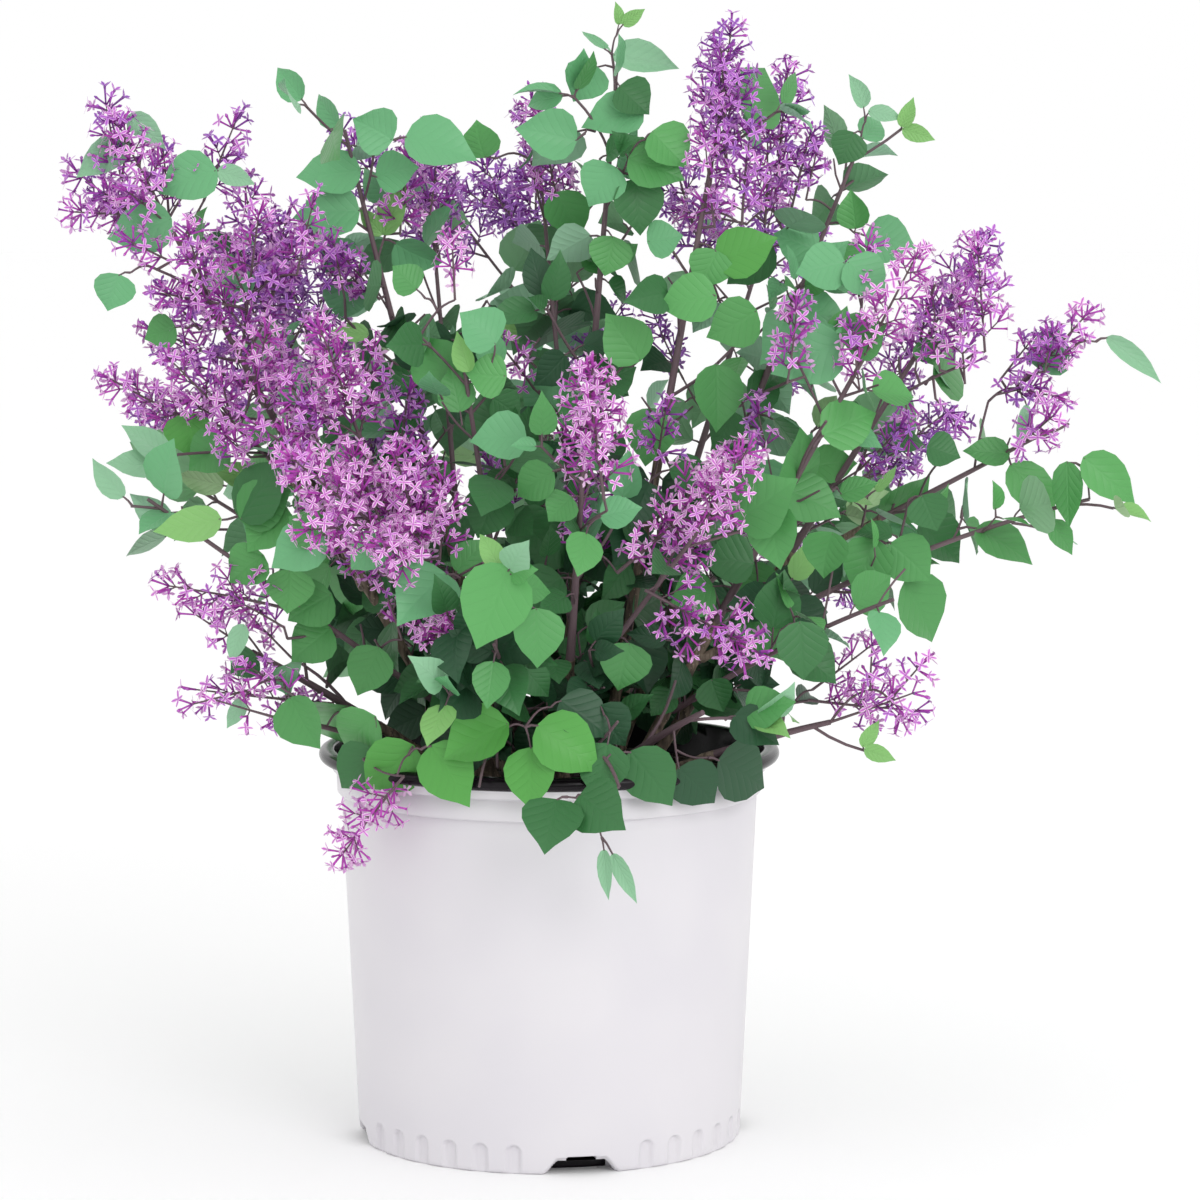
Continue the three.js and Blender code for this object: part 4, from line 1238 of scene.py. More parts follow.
    def gather_heads(self, mass: Mass) -> None:
        """Takes over the solids' flower heads and grows a twin beside each where there is room."""
        chance = self.chances[mass.shoot.index]
        heads = self.heads[mass.shoot.index]
        lavish = mass.shoot.spec.name in self.LAVISH
        behind = side_of(mass.shoot) is Side.BACK
        margins = BLOOM_MARGINS if lavish else FINE_MARGINS
        for stem in [*mass.twigs, mass.main]:
            if stem.head is None:
                continue
            head = stem.head
            if (head.root + head.tip)[2] / 2 < self.LOWEST_HEAD.get(mass.shoot.spec.name, 0):
                stem.head = None
                continue
            heads.append(head)
            out = outward(head.along, chance.between(0, 2 * math.pi))
            for side in (out, -out) if lavish or behind else ():
                twin = Head(head.root - head.along * 3, unit(head.along + side * 0.75), head.length * chance.between(0.55, 0.8))
                if self.room.holds(twin.samples(), mass.shoot, margins):
                    heads.append(twin)
                    if not lavish:
                        break
        if not lavish:
            return
        nodes = len(mass.nodes)
        for k, (_, _, turn, _) in enumerate(mass.nodes):
            at, along = mass.main.place((k + 0.6) / nodes)
            for angle in (turn + math.pi / 4, turn - math.pi * 0.75):
                way = unit(along * 0.5 + outward(along, angle) + UP * 0.25)
                stem = chance.between(16, 32)
                head = Head(at + way * stem, unit(way + UP * 0.3), chance.between(46, 68))
                if self.room.holds(head.samples(), mass.shoot, margins):
                    heads.append(head)
                    self.stalks.append(Stalk(np.array([at, head.root]), np.array([0.9, 0.7]), FLOWER_STALK))

    def in_head(self, point: Array) -> bool:
        """Tells whether a point is inside a flower head."""
        off = segment_distances(point[None], self.head_starts, self.head_ends)[0]
        return bool(np.any(off < self.head_radii * self.HEAD_CORE))

    def in_depths(self, point: Array) -> bool:
        """Tells whether a point is low in the clump, where shade falls and leaves get painted shade."""
        return bool(point[2] < 345 and math.hypot(point[0], point[1]) < 165)

    def leafiness(self, shoot: Shoot) -> float:
        """Returns the share of a shoot's leaf pairs that grow."""
        usual = self.LAVISH_LEAVES if shoot.spec.name in self.LAVISH else self.OTHER_LEAVES
        return self.LEAFINESS.get(shoot.spec.name, usual)

    def draw_wood(self, mass: Mass) -> None:
        """Draws a mass's main stem and twigs as smooth tapering stalks."""
        shoot = mass.shoot
        begin = max(shoot.spec.bare - 3 / shoot.length, 0)
        count = max(6, whole(shoot.length * (shoot.stem_end - begin) / 9))
        shares = [begin + (shoot.stem_end - begin) * i / count for i in range(count + 1)]
        stem = shoot.stretch(shares)
        points, radii = stem.points, stem.radii * np.linspace(0.78, 0.6, count + 1)
        hanging = shoot.spec.lift < 0
        if hanging:
            kept = (points[:, 2] > self.HANGING) | (np.arange(count + 1) < points[:, 2].argmax())
            points, radii = points[kept], radii[kept] * 0.6
        self.add_wood(points, shoot.index)
        if shoot.spec.bare > 0:
            bare = [shoot.point(t) for t in np.linspace(0.3, 1, 12) * shoot.spec.bare]
            self.add_wood(np.array(bare), shoot.index)
        if shoot.parent and shoot.spec.bare == 0:
            inside = shoot.parent.point(shoot.spec.fork)
            points = np.vstack([inside, points])
            radii = np.concatenate([[radii[0] * 1.3], radii])
        self.stalks.append(Stalk(points, radii, TWIG_BARK))
        chance = self.chances[shoot.index]
        for twig in mass.twigs:
            start, end = twig.points
            if hanging and end[2] < self.HANGING:
                continue
            length = float(np.linalg.norm(end - start))
            bow = outward(twig.ways[0], chance.between(0, 2 * math.pi)) * length * chance.between(0.02, 0.06)
            shares = np.linspace(0, 1, max(4, whole(length / 8)))
            curve = start + np.outer(shares, end - start) + np.outer(np.sin(shares * math.pi), bow)
            self.stalks.append(Stalk(curve, np.interp(shares, [0, 1], twig.radii) * 0.78, TWIG_BARK))
            self.add_wood(curve[1:], shoot.index)

    def add_leaf(
        self, shoot: Shoot, root: Array, direction: Array, length: float, margins: Margins | None, young: bool = False
    ) -> bool:
        """Adds a real leaf: its stalk holds it out, and its blade hangs and turns to the light.

        Args:
            shoot: The shoot that it grows on.
            root: Where its stalk leaves the wood.
            direction: The way that the stalk runs.
            length: How long stalk and blade are together.
            margins: How far the blade keeps off, or None where its place is already known to be free.
            young: Whether it is a small leaf at a tip, held up and narrow.

        Returns:
            True if there was room for it.
        """
        chance = self.chances[shoot.index]
        way = unit(direction)
        stalk = length * self.STALK_SHARE * chance.between(0.8, 1.3)
        base = root + way * stalk
        away = unit(base * LEVEL)
        low = 1 - float(smooth_step(260, 480, base[2]))
        hang = chance.between(0.0, 0.65) + 0.45 * low
        if young:
            hang = chance.between(-0.3, 0.2)
        along = unit(way - UP * hang + away * 0.1)
        swing = outward(along, chance.between(0, 2 * math.pi)) * chance.between(0.1, 0.5)
        light = np.array([0.0, -0.55 if base[1] < 50 else 0.35, 0.0])
        face = squared(UP * (0.5 - 0.2 * low) + away * 0.7 + light + swing, along)
        blade = length * self.BLADE_SHARE * chance.between(0.92, 1.08)
        width = chance.between(0.66, 0.8) if young else chance.between(0.88, 1.08)
        middle = base + along * blade * 0.5
        over_rim = middle[2] < self.RIM_LEVEL and middle[1] < 20 and math.hypot(middle[0], middle[1]) > 96
        if over_rim or np.linalg.norm(self.placed - middle, axis=1).min() < self.ABREAST or self.in_head(middle):
            return False
        if margins:
            side = np.cross(along, face) * blade * 0.3
            points = np.array([middle, middle + side, middle - side, base + along * blade])
            if not self.room.holds(points, shoot, margins):
                return False
        tint = self.leaf_tint(shoot, base, young)
        self.leaves[shoot.index].append(Leaf(base, along, face, blade, width, tint, int(chance.next() * self.LEAF_FORMS)))
        self.hold_leaf(root, base, along, blade)
        return True

    def leaf_tint(self, shoot: Shoot, at: Array, young: bool) -> LeafTint:
        """Chooses a leaf's green by its place: painted light makes it bright over the rim, painted shade makes it dark
        in the depths and lower down, and tips are pale.

        Args:
            shoot: The shoot that it grows on.
            at: Where its blade starts.
            young: Whether it is a leaf at a tip.

        Returns:
            The tint.
        """
        chance = self.chances[shoot.index]
        roll = chance.next()
        if shoot.spec.name.startswith("rim"):
            return LeafTint.RIM if roll < 0.7 else LeafTint.FRESH
        radial = math.hypot(at[0] / 1.15, at[1])
        reach = 60 + 0.42 * (at[2] - 222)
        depth = radial / max(reach, 60)
        if self.in_depths(at):
            return LeafTint.SHADE if roll < 0.55 else LeafTint.DEEP
        if young and depth > 1:
            return (LeafTint.YOUNG, LeafTint.GREY, LeafTint.FRESH, LeafTint.COOL)[int(roll * 4) % 4]
        # Painted shade for leaves deep inside the crown.
        if depth < 0.55 and at[2] < 520:
            return LeafTint.SHADE if roll < 0.45 else LeafTint.DEEP
        # Painted shade: low leaves here get DEEP where high ones get COOL.
        high = at[2] > 460
        if depth < 0.9:
            inner = (LeafTint.DEEP, LeafTint.COOL if high else LeafTint.DEEP, LeafTint.MID, LeafTint.COOL)
            return inner[int(roll * 4) % 4]
        outer = (LeafTint.MID, LeafTint.COOL, LeafTint.FRESH, LeafTint.MID, LeafTint.COOL if high else LeafTint.DEEP)
        return outer[int(roll * 5) % 5]

    def dress_solids(self, mass: Mass) -> None:
        """Puts a real leaf in place of most leaves of the solids, but for those that would hide the pot."""
        chance = self.chances[mass.shoot.index]
        kept = self.leafiness(mass.shoot) + self.SOLID_LEAVES
        for blade in mass.leaves:
            if (blade.root + blade.along * blade.length * 0.6)[2] > self.HANGING and chance.next() < kept:
                self.add_leaf(mass.shoot, blade.root, blade.along, blade.length * 0.98, None, blade.young)

    def leaf_pair(
        self, shoot: Shoot, at: Array, along: Array, turn: float, length: float, margins: Margins, young: bool = False
    ) -> None:
        """Adds two leaves opposite each other.

        Args:
            shoot: The shoot that they grow on.
            at: Their node.
            along: The way the twig runs there.
            turn: The angle round the twig of the first.
            length: Their length with the stalk.
            margins: How far they keep off.
            young: Whether they are small leaves at a tip.
        """
        chance = self.chances[shoot.index]
        if chance.next() > (self.INNER_LEAVES if margins is LOOSE_MARGINS else self.leafiness(shoot)):
            return
        for out in (outward(along, turn), outward(along, turn + math.pi)):
            away = unit(at * LEVEL)
            rise = 0.8 if young else 0.4
            direction = out + along * rise - UP * chance.between(-0.1, 0.35) + away * 0.2
            self.add_leaf(shoot, at, direction, length * chance.between(0.82, 1.15), margins, young)

    def twiglet(self, shoot: Shoot, at: Array, along: Array, out: Array, length: float, margins: Margins) -> None:
        """Grows a short side twig with a pair of leaves on it and a smaller pair or a small head on its end.

        Args:
            shoot: The shoot that it grows on.
            at: Its node.
            along: The way the parent runs there.
            out: The side it leaves on.
            length: How long it is.
            margins: How far it keeps off.
        """
        chance = self.chances[shoot.index]
        way = unit(along * chance.between(0.4, 0.8) + out + UP * shoot.spec.lift)
        points = at + np.outer([0.4, 0.7, 1.0], way * length)
        stray = points[-1][2] < self.RIM_LEVEL and points[-1][1] < 20
        if stray or not self.room.holds(points, shoot, margins) or self.in_head(points[-1]):
            return
        end = points[-1]
        bend = at + way * length * 0.5 + outward(way, chance.between(0, 6.28)) * length * 0.05
        self.stalks.append(Stalk(np.array([at, bend, end]), np.array([0.95, 0.8, 0.6]), TWIG_BARK))
        turn = chance.between(0, math.pi)
        self.leaf_pair(shoot, at + way * length * 0.55, way, turn, chance.between(40, 56), margins)
        if shoot.flowering and chance.next() < 0.35:
            head = Head(end, unit(way + UP * 0.2), chance.between(36, 54))
            if not self.in_depths(end) and self.room.holds(head.samples(), shoot, margins):
                self.heads[shoot.index].append(head)
                return
        self.leaf_pair(shoot, end, way, turn + math.pi / 2, chance.between(30, 46), margins, True)

    def dress_stem(self, mass: Mass) -> None:
        """Grows leaf pairs and twiglets between the nodes of a main stem."""
        shoot = mass.shoot
        chance = self.chances[shoot.index]
        nodes = len(mass.nodes)
        for k, (_, _, turn, height) in enumerate(mass.nodes):
            at, along = mass.main.place((k + 0.2) / nodes)
            side = turn + math.pi / 4
            if (k + shoot.index) % 2 == 0:
                self.leaf_pair(shoot, at, along, side, chance.between(48, 66) * (1 - 0.2 * height), FINE_MARGINS)
            else:
                for angle in (side, side + math.pi):
                    length = chance.between(20, 36) * (1 - 0.3 * height) * shoot.spec.spread / 60
                    self.twiglet(shoot, at, along, outward(along, angle), length, FINE_MARGINS)

    def dress_twigs(self, mass: Mass) -> None:
        """Grows leaf pairs along the twigs, and one close under each flower head."""
        shoot = mass.shoot
        chance = self.chances[shoot.index]
        for twig in mass.twigs:
            start, end = twig.points
            way = twig.ways[0]
            turn = chance.between(0, math.pi)
            for share in (0.4, 0.78):
                turn += math.pi / 2
                at = start + (end - start) * share
                self.leaf_pair(shoot, at, way, turn, chance.between(42, 62), FINE_MARGINS)
            if twig.head is None:
                self.leaf_pair(shoot, end, way, turn + math.pi / 2, chance.between(34, 50), FINE_MARGINS, True)

    def dress_limb(self, mass: Mass) -> None:
        """Grows short leafy twigs on the bare limb, which fill the depths of the clump."""
        shoot = mass.shoot
        if shoot.spec.bare == 0:
            return
        chance = self.chances[shoot.index]
        reach = shoot.length * shoot.spec.bare
        count = int(reach / 21)
        turn = chance.between(0, math.pi)
        for k in range(count):
            share = shoot.spec.bare * (k + 0.6) / count
            at, along = shoot.point(share), shoot.way(share)
            turn += math.pi / 2 + chance.between(-0.4, 0.4)
            if at[2] < 246:
                continue
            for angle in (turn, turn + math.pi):
                if chance.next() < 0.75:
                    self.twiglet(shoot, at, along, outward(along, angle), chance.between(14, 30), LOOSE_MARGINS)


# ---------------------------------------------------------------- meshes


def finished_object(name: str, mesh: bpy.types.Mesh, finishes: list[Finish], nodes: list[str]) -> bpy.types.Object:
    """Makes a mesh into a piece of the object.

    Args:
        name: The piece's name.
        mesh: Its mesh, in millimetres.
        finishes: Its finishes, in the order of the mesh's material numbers.
        nodes: The CAD nodes that it stands for.

    Returns:
        The piece.
    """
    mesh.transform(Matrix.Scale(MM, 4))
    mesh.polygons.foreach_set("use_smooth", np.ones(len(mesh.polygons), bool))
    mesh.set_sharp_from_angle(angle=SHARP_ANGLE)
    for finish in finishes:
        mesh.materials.append(finish.make())
    piece = bpy.data.objects.new(name, mesh)
    bpy.context.scene.collection.objects.link(piece)
    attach(piece, BODY)
    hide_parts(*nodes)
    mesh.calc_loop_triangles()
    log.info("%s: %d triangles", name, len(mesh.loop_triangles))
    return piece


class Pattern:
    """A small mesh that is copied many times. Each face says which part of the whole it belongs to."""

    def __init__(self, shape: bmesh.types.BMesh) -> None:
        """Reads a shape into arrays and frees it.

        Args:
            shape: The shape. A face's material number is its part, and its UV layer is read if it has one.
        """
        layer = shape.loops.layers.uv.active
        bmesh.ops.recalc_face_normals(shape, faces=shape.faces)
        shape.verts.index_update()
        corners = [corner for face in shape.faces for corner in face.loops]
        self.points = np.array([v.co for v in shape.verts])
        self.corners = np.array([corner.vert.index for corner in corners])
        self.sizes = np.array([len(face.verts) for face in shape.faces])
        self.parts = np.array([face.material_index for face in shape.faces])
        self.uv = np.array([corner[layer].uv for corner in corners]) if layer else np.zeros((len(corners), 2))
        shape.free()


class Copies:
    """Copies of patterns, each with its own place and finishes, joined into one mesh."""

    def __init__(self) -> None:
        """Starts with no copies."""
        self.placed: dict[Pattern, list[tuple[Array, tuple[int, ...]]]] = {}

    def add(self, pattern: Pattern, placing: Array, finishes: tuple[int, ...]) -> None:
        """Adds a copy.

        Args:
            pattern: What is copied.
            placing: Three axes and a place, in columns.
            finishes: The material number of each of the pattern's parts.
        """
        self.placed.setdefault(pattern, []).append((placing, finishes))

    def mesh(self, name: str) -> bpy.types.Mesh:
        """Joins the copies into one mesh, in millimetres."""
        points, corners, sizes, parts, uvs = [], [], [], [], []
        offset = 0
        for pattern, copies in self.placed.items():
            placings = np.array([placing for placing, _ in copies])
            finishes = np.array([numbers for _, numbers in copies])
            moved = np.einsum("nij,vj->nvi", placings[:, :, :3], pattern.points) + placings[:, None, :, 3]
            steps = offset + np.arange(len(copies)) * len(pattern.points)
            points.append(moved.reshape(-1, 3))
            corners.append((pattern.corners[None] + steps[:, None]).ravel())
            sizes.append(np.tile(pattern.sizes, len(copies)))
            parts.append(finishes[:, pattern.parts].ravel())
            uvs.append(np.tile(pattern.uv, (len(copies), 1)))
            offset += len(copies) * len(pattern.points)
        made = bpy.data.meshes.new(name)
        faces = np.concatenate(sizes)
        made.vertices.add(offset)
        made.vertices.foreach_set("co", np.concatenate(points).astype(np.float32).ravel())
        made.loops.add(int(faces.sum()))
        made.loops.foreach_set("vertex_index", np.concatenate(corners).astype(np.int32))
        made.polygons.add(len(faces))
        made.polygons.foreach_set("loop_start", np.concatenate([[0], np.cumsum(faces)[:-1]]).astype(np.int32))
        made.polygons.foreach_set("material_index", np.concatenate(parts).astype(np.int32))
        made.uv_layers.new(name="UVMap").data.foreach_set("uv", np.concatenate(uvs).astype(np.float32).ravel())
        made.update(calc_edges=True)
        return made


def mesh_of_stalks(name: str, stalks: list[Stalk], finishes: list[Finish], sides: int) -> bpy.types.Mesh:
    """Makes stalks as round tapering tubes with closed ends, joined into one mesh.

    Args:
        name: The mesh's name.
        stalks: The stalks, in millimetres.
        finishes: The finishes, whose places in this list become the material numbers.
        sides: How many sides each tube has: 4, 6, 8 and so on.

    Returns:
        The mesh, in millimetres.
    """
    curve = bpy.data.curves.new(name, "CURVE")
    curve.dimensions = "3D"
    curve.twist_mode = "MINIMUM"
    curve.bevel_depth = 1.0
    curve.bevel_resolution = sides // 2 - 2
    curve.use_fill_caps = True
    for stalk in stalks:
        spline = curve.splines.new("POLY")
        spline.points.add(len(stalk.points) - 1)
        spline.points.foreach_set("co", np.column_stack([stalk.points, np.ones(len(stalk.points))]).ravel())
        spline.points.foreach_set("radius", stalk.radii)
        spline.material_index = finishes.index(stalk.finish)
    holder = bpy.data.objects.new(name, curve)
    for _ in finishes:
        curve.materials.append(None)
    mesh = bpy.data.meshes.new_from_object(holder)
    mesh.materials.clear()
    bpy.data.objects.remove(holder)
    bpy.data.curves.remove(curve)
    return mesh


def lofted(shape: bmesh.types.BMesh, stations: list[tuple[float, float]], sides: int, parts: list[int]) -> list:
    """Adds a tube that runs up +Z through rings, closed at its top.

    Args:
        shape: The mesh it is added to.
        stations: The height and radius of each ring, from the bottom.
        sides: How many sides it has.
        parts: The part that each stretch between two rings belongs to, and last the top's.

    Returns:
        The top ring's vertices.
    """
    height, radius = stations[0]
    ring = bmesh.ops.create_circle(
        shape, cap_ends=False, segments=sides, radius=radius, matrix=Matrix.Translation((0, 0, height))
    )["verts"]
    edges = list({edge for vert in ring for edge in vert.link_edges})
    bmesh.ops.contextual_create(shape, geom=edges)[ "faces"][0].material_index = parts[0]
    for (low, before), (high, after), part in zip(stations, stations[1:], parts):
        known = set(shape.faces)
        grown = bmesh.ops.extrude_edge_only(shape, edges=edges)["geom"]
        ring = [item for item in grown if isinstance(item, bmesh.types.BMVert)]
        edges = [item for item in grown if isinstance(item, bmesh.types.BMEdge)]
        bmesh.ops.translate(shape, verts=ring, vec=(0, 0, high - low))
        bmesh.ops.scale(shape, verts=ring, vec=(after / before, after / before, 1))
        for face in set(shape.faces) - known:
            face.material_index = part
    bmesh.ops.contextual_create(shape, geom=edges)["faces"][0].material_index = parts[-1]
    return ring


class Copied(Enum):
    """The parts of the copied patterns, in the order of their finishes."""

    LEAF = ("upper", "under")
    FLORET = PETAL_PARTS


@dataclass(frozen=True)
class LeafPattern:
    """A broad ovate leaf with a rounded foot and a drawn-out tip, folded along its midrib and a little wavy."""

    fold: float
    arch: float
    wave: float
    tip_fall: float
    lean: float
    columns: int = 4
    rows: tuple[tuple[float, float], ...] = (
        (0.0, 0.0),
        (0.05, 0.46),
        (0.16, 0.83),
        (0.34, 1.0),
        (0.53, 0.93),
        (0.71, 0.67),
        (0.87, 0.27),
        (1.0, 0.0),
    )
    half_width: float = 0.43
    thickness: float = 0.006

    def make(self) -> Pattern:
        """Makes the leaf, an upper and an under skin that meet at the margin."""
        shape = bmesh.new()
        layer = shape.loops.layers.uv.new("UVMap")
        bmesh.ops.create_grid(shape, x_segments=self.columns, y_segments=len(self.rows) - 1, size=0.5)
        flat: dict = {}
        for vert in shape.verts:
            row, swell = self.rows[whole((vert.co.y + 0.5) * (len(self.rows) - 1))]
            aside = vert.co.x * 2
            wide = self.half_width * swell * aside
            lift = self.fold * abs(wide) - self.arch * row * row - self.tip_fall * max(0.0, row - 0.75) ** 2 * 16
            ripple = self.wave * wide * abs(aside) * math.sin(row * 9 + (1.3 if aside > 0 else 0.2))
            swept = self.lean * math.sin(row * math.pi) * 0.5
            vert.co = (wide + swept, row, lift + ripple)
            flat[vert] = (0.5 + wide, row)
        for face in shape.faces:
            for corner in face.loops:
                corner[layer].uv = flat[corner.vert]
        inner = [vert for vert in shape.verts if not vert.is_boundary]
        lower = bmesh.ops.duplicate(shape, geom=list(shape.faces) + list(shape.edges) + list(shape.verts))
        copies = {lower["vert_map"][vert] for vert in inner}
        below = [item for item in lower["geom"] if isinstance(item, bmesh.types.BMFace)]
        bmesh.ops.reverse_faces(shape, faces=below)
        bmesh.ops.translate(shape, verts=list(copies), vec=(0, 0, -self.thickness))
        for face in below:
            face.material_index = 1
        bmesh.ops.remove_doubles(shape, verts=shape.verts, dist=1e-5)
        return Pattern(shape)


@dataclass(frozen=True)
class FloretPattern:
    """A lilac floret: a slender tube with four narrow petals that open in a cross at its mouth. Sizes are in mm."""

    opening: float
    turn: float
    curl: float
    rows: tuple[tuple[float, float], ...] = ((0.0, 0.5), (0.6, 1.0), (1.0, 0.0))
    tube: float = 10.2
    petal_length: float = 5.1
    petal_width: float = 2.4

    def make(self) -> Pattern:
        """Makes the floret, with its tube up +Z."""
        shape = bmesh.new()
        stations = [(0.0, 0.6), (self.tube * 0.8, 0.78), (self.tube, 1.05)]
        lofted(shape, stations, 3, [1, 1, 2])
        for k in range(4):
            self.add_petal(shape, self.turn + k * math.pi / 2)
        return Pattern(shape)

    def add_petal(self, shape: bmesh.types.BMesh, turn: float) -> None:
        """Adds one petal, closed beneath.

        Args:
            shape: The floret's mesh.
            turn: The way that it points.
        """
        known = set(shape.verts)
        bmesh.ops.create_grid(shape, x_segments=3, y_segments=len(self.rows) - 1, size=0.5)
        grown = [vert for vert in shape.verts if vert not in known]
        faces = list({face for vert in grown for face in vert.link_faces})
        for face in faces:
            face.material_index = 2 if abs(face.calc_center_median().x) < 0.1 else 3
        for vert in grown:
            share, wide = self.rows[whole((vert.co.y + 0.5) * (len(self.rows) - 1))]
            aside = vert.co.x * 2 * (1.5 if abs(vert.co.x) < 0.3 else 1.0) * 0.5 * self.petal_width * wide
            out = 0.35 + self.petal_length * share * math.cos(self.opening)
            rise = self.petal_length * (share * math.sin(self.opening) + self.curl * share * share)
            crest = 0.16 * (1 - abs(vert.co.x) * 2)
            vert.co = (aside, out, self.tube + rise + crest)
        bmesh.ops.remove_doubles(shape, verts=grown, dist=1e-4)
        kept = [vert for vert in shape.verts if vert not in known]
        rim = [edge for edge in {e for vert in kept for e in vert.link_edges} if edge.is_boundary]
        bmesh.ops.contextual_create(shape, geom=rim)["faces"][0].material_index = 3
        bmesh.ops.rotate(shape, verts=kept, cent=(0, 0, 0), matrix=Matrix.Rotation(turn, 3, "Z"))


@dataclass(frozen=True)
class BudPattern:
    """A closed lilac bud: a slender tube under a club. Sizes are in mm."""

    length: float = 10.5
    club: float = 1.15

    def make(self) -> Pattern:
        """Makes the bud, with its tube up +Z."""
        shape = bmesh.new()
        stations = [
            (0.0, 0.5),
            (1.3, 0.7),
            (self.length * 0.66, 0.62),
            (self.length * 0.86, self.club),
            (self.length, self.club * 0.4),
        ]
        lofted(shape, stations, 4, [0, 1, 1, 2, 2])
        return Pattern(shape)


class Blossom:
    """The florets of every flower head, on stalks that branch in pairs."""

    NODE_STEP = 8.8
    FLORET_STEP = 6.2
    FLORET_REACH = 9.0
    WIDTH = 1.18
    LOOSE_SHARE = 0.6

    def __init__(self) -> None:
        """Makes the florets' patterns."""
        self.florets = (
            FloretPattern(0.12, 0.3, 0.05, ((0.0, 0.5), (0.42, 1.0), (0.8, 0.74), (1.0, 0.0))).make(),
            FloretPattern(0.32, 0.9, -0.12).make(),
            FloretPattern(-0.1, 0.6, 0.14).make(),
            FloretPattern(0.7, 0.1, -0.1).make(),
        )
        self.buds = (BudPattern().make(), BudPattern(8.6, 1.0).make())
        self.copies = Copies()
        self.stalks: list[Stalk] = []
        self.count = 0

    def grow_head(self, head: Head, tint: PetalTint, chance: Seeded) -> None:
        """Grows one head.

        Args:
            head: Its space and direction.
            tint: Its purple.
            chance: Its run of numbers.
        """
        bend = outward(head.along, chance.between(0, 2 * math.pi)) * head.length * chance.between(0.0, 0.07)
        nodes = max(3, int(head.length * 0.86 / self.NODE_STEP))

        def axis(share: float) -> Array:
            """Returns the middle of the stalk at a share of the head's length."""
            return head.root + head.along * head.length * share + bend * share * share

        shares = np.linspace(0, 0.9, nodes + 2)
        thick = 0.55 + head.length * 0.006
        self.stalks.append(Stalk(np.array([axis(s) for s in shares]), np.linspace(thick, 0.45, nodes + 2), FLOWER_STALK))
        turn = chance.between(0, math.pi)
        fullness = self.LOOSE_SHARE if abs(head.root[0]) > 85 and head.root[2] < 350 else 0.95
        for k in range(nodes):
            share = 0.07 + 0.83 * (k + 0.5) / nodes
            envelope = head.radius * self.WIDTH * (1 - share) ** 0.62 * (share + 0.12) ** 0.24
            turn += math.pi / 2 + chance.between(-0.2, 0.2)
            for angle in (turn, turn + math.pi):
                if chance.next() > fullness:
                    continue
                out = outward(head.along, angle)
                way = unit(head.along * chance.between(0.45, 0.95) + out)
                length = max((envelope - self.FLORET_REACH * 0.72) * chance.between(0.8, 1.25), 2.0)
                self.grow_side(axis(share), way, length, share, tint, chance)
        self.grow_tip(axis(0.9), head.along, 1.0, tint, chance)

    def grow_side(self, at: Array, way: Array, length: float, share: float, tint: PetalTint, chance: Seeded) -> None:
        """Grows a side stalk with florets in pairs along it and a cluster on its end."""
        end = at + way * length
        self.stalks.append(Stalk(np.array([at, end]), np.array([0.5, 0.38]), FLOWER_STALK))
        steps = int(length / self.FLORET_STEP)
        turn = chance.between(0, math.pi)
        for j in range(steps):
            turn += math.pi / 2
            place = at + way * length * (j + 0.75) / (steps + 0.5)
            for angle in (turn, turn + math.pi):
                self.add_floret(place, unit(way * chance.between(0.5, 1.0) + outward(way, angle)), share, tint, chance)
        self.grow_tip(end, way, share, tint, chance)

    def grow_tip(self, end: Array, way: Array, share: float, tint: PetalTint, chance: Seeded) -> None:
        """Grows the cluster of three on a stalk's end."""
        self.add_floret(end, unit(way + outward(way, chance.between(0, 6.28)) * 0.2), share, tint, chance)
        turn = chance.between(0, math.pi)
        for angle in (turn, turn + math.pi):
            direction = unit(way + outward(way, angle) * chance.between(0.7, 1.1))
            self.add_floret(end - way * 0.8, direction, share, tint, chance)

    def add_floret(self, at: Array, way: Array, share: float, tint: PetalTint, chance: Seeded) -> None:
        """Adds a floret, or a bud: there are more buds towards the head's top.

        Args:
            at: Where it grows.
            way: The way its tube runs.
            share: How far up the head it is.
            tint: Its purple.
            chance: Its run of numbers.
        """
        budding = chance.next() < 0.1 + 0.28 * share**3
        pattern = chance.pick(self.buds if budding else self.florets)
        size = chance.between(0.84, 1.06)
        turn = chance.between(0, 2 * math.pi)
        u = outward(way, turn)
        v = np.cross(way, u)
        shade = tint
        roll = chance.next()
        if roll < 0.2 and tint > PetalTint.BRIGHT:
            shade = PetalTint(tint - 1)
        elif roll > 0.82 and tint < PetalTint.DEEP:
            shade = PetalTint(tint + 1)
        first = int(shade) * len(PETAL_PARTS)
        placing = np.column_stack([u * size, v * size, way * size, at])
        self.copies.add(pattern, placing, tuple(first + part for part in range(len(PETAL_PARTS))))
        self.count += 1


# ---------------------------------------------------------------- the pot and what fills it


def arc(centre: tuple[float, float], radius: float, begin_deg: float, end_deg: float, steps: int) -> list[tuple[float, float]]:
    """Returns points on an arc of a profile.

    Args:
        centre: Its centre, as radius and height.
        radius: Its radius.
        begin_deg: The angle it starts at, anticlockwise from outwards.
        end_deg: The angle it ends at.
        steps: How many steps it has.

    Returns:
        The points, ends included.
    """
    angles = np.radians(np.linspace(begin_deg, end_deg, steps + 1))
    return [(centre[0] + radius * math.cos(a), centre[1] + radius * math.sin(a)) for a in angles]


def spun(profile: list[tuple[float, float]], steps: int) -> bmesh.types.BMesh:
    """Spins a profile of radii and heights round the Z axis into a closed shape."""
    shape = bmesh.new()
    verts = [shape.verts.new((radius, 0, height)) for radius, height in profile]
    edges = [shape.edges.new(pair) for pair in zip(verts, verts[1:])]
    bmesh.ops.spin(
        shape,
        geom=verts + edges,
        cent=(0, 0, 0),
        axis=(0, 0, 1),
        angle=2 * math.pi,
        steps=steps,
        use_merge=True,
        use_duplicate=False,
    )
    bmesh.ops.remove_doubles(shape, verts=shape.verts, dist=1e-4)
    bmesh.ops.recalc_face_normals(shape, faces=shape.faces)
    return shape


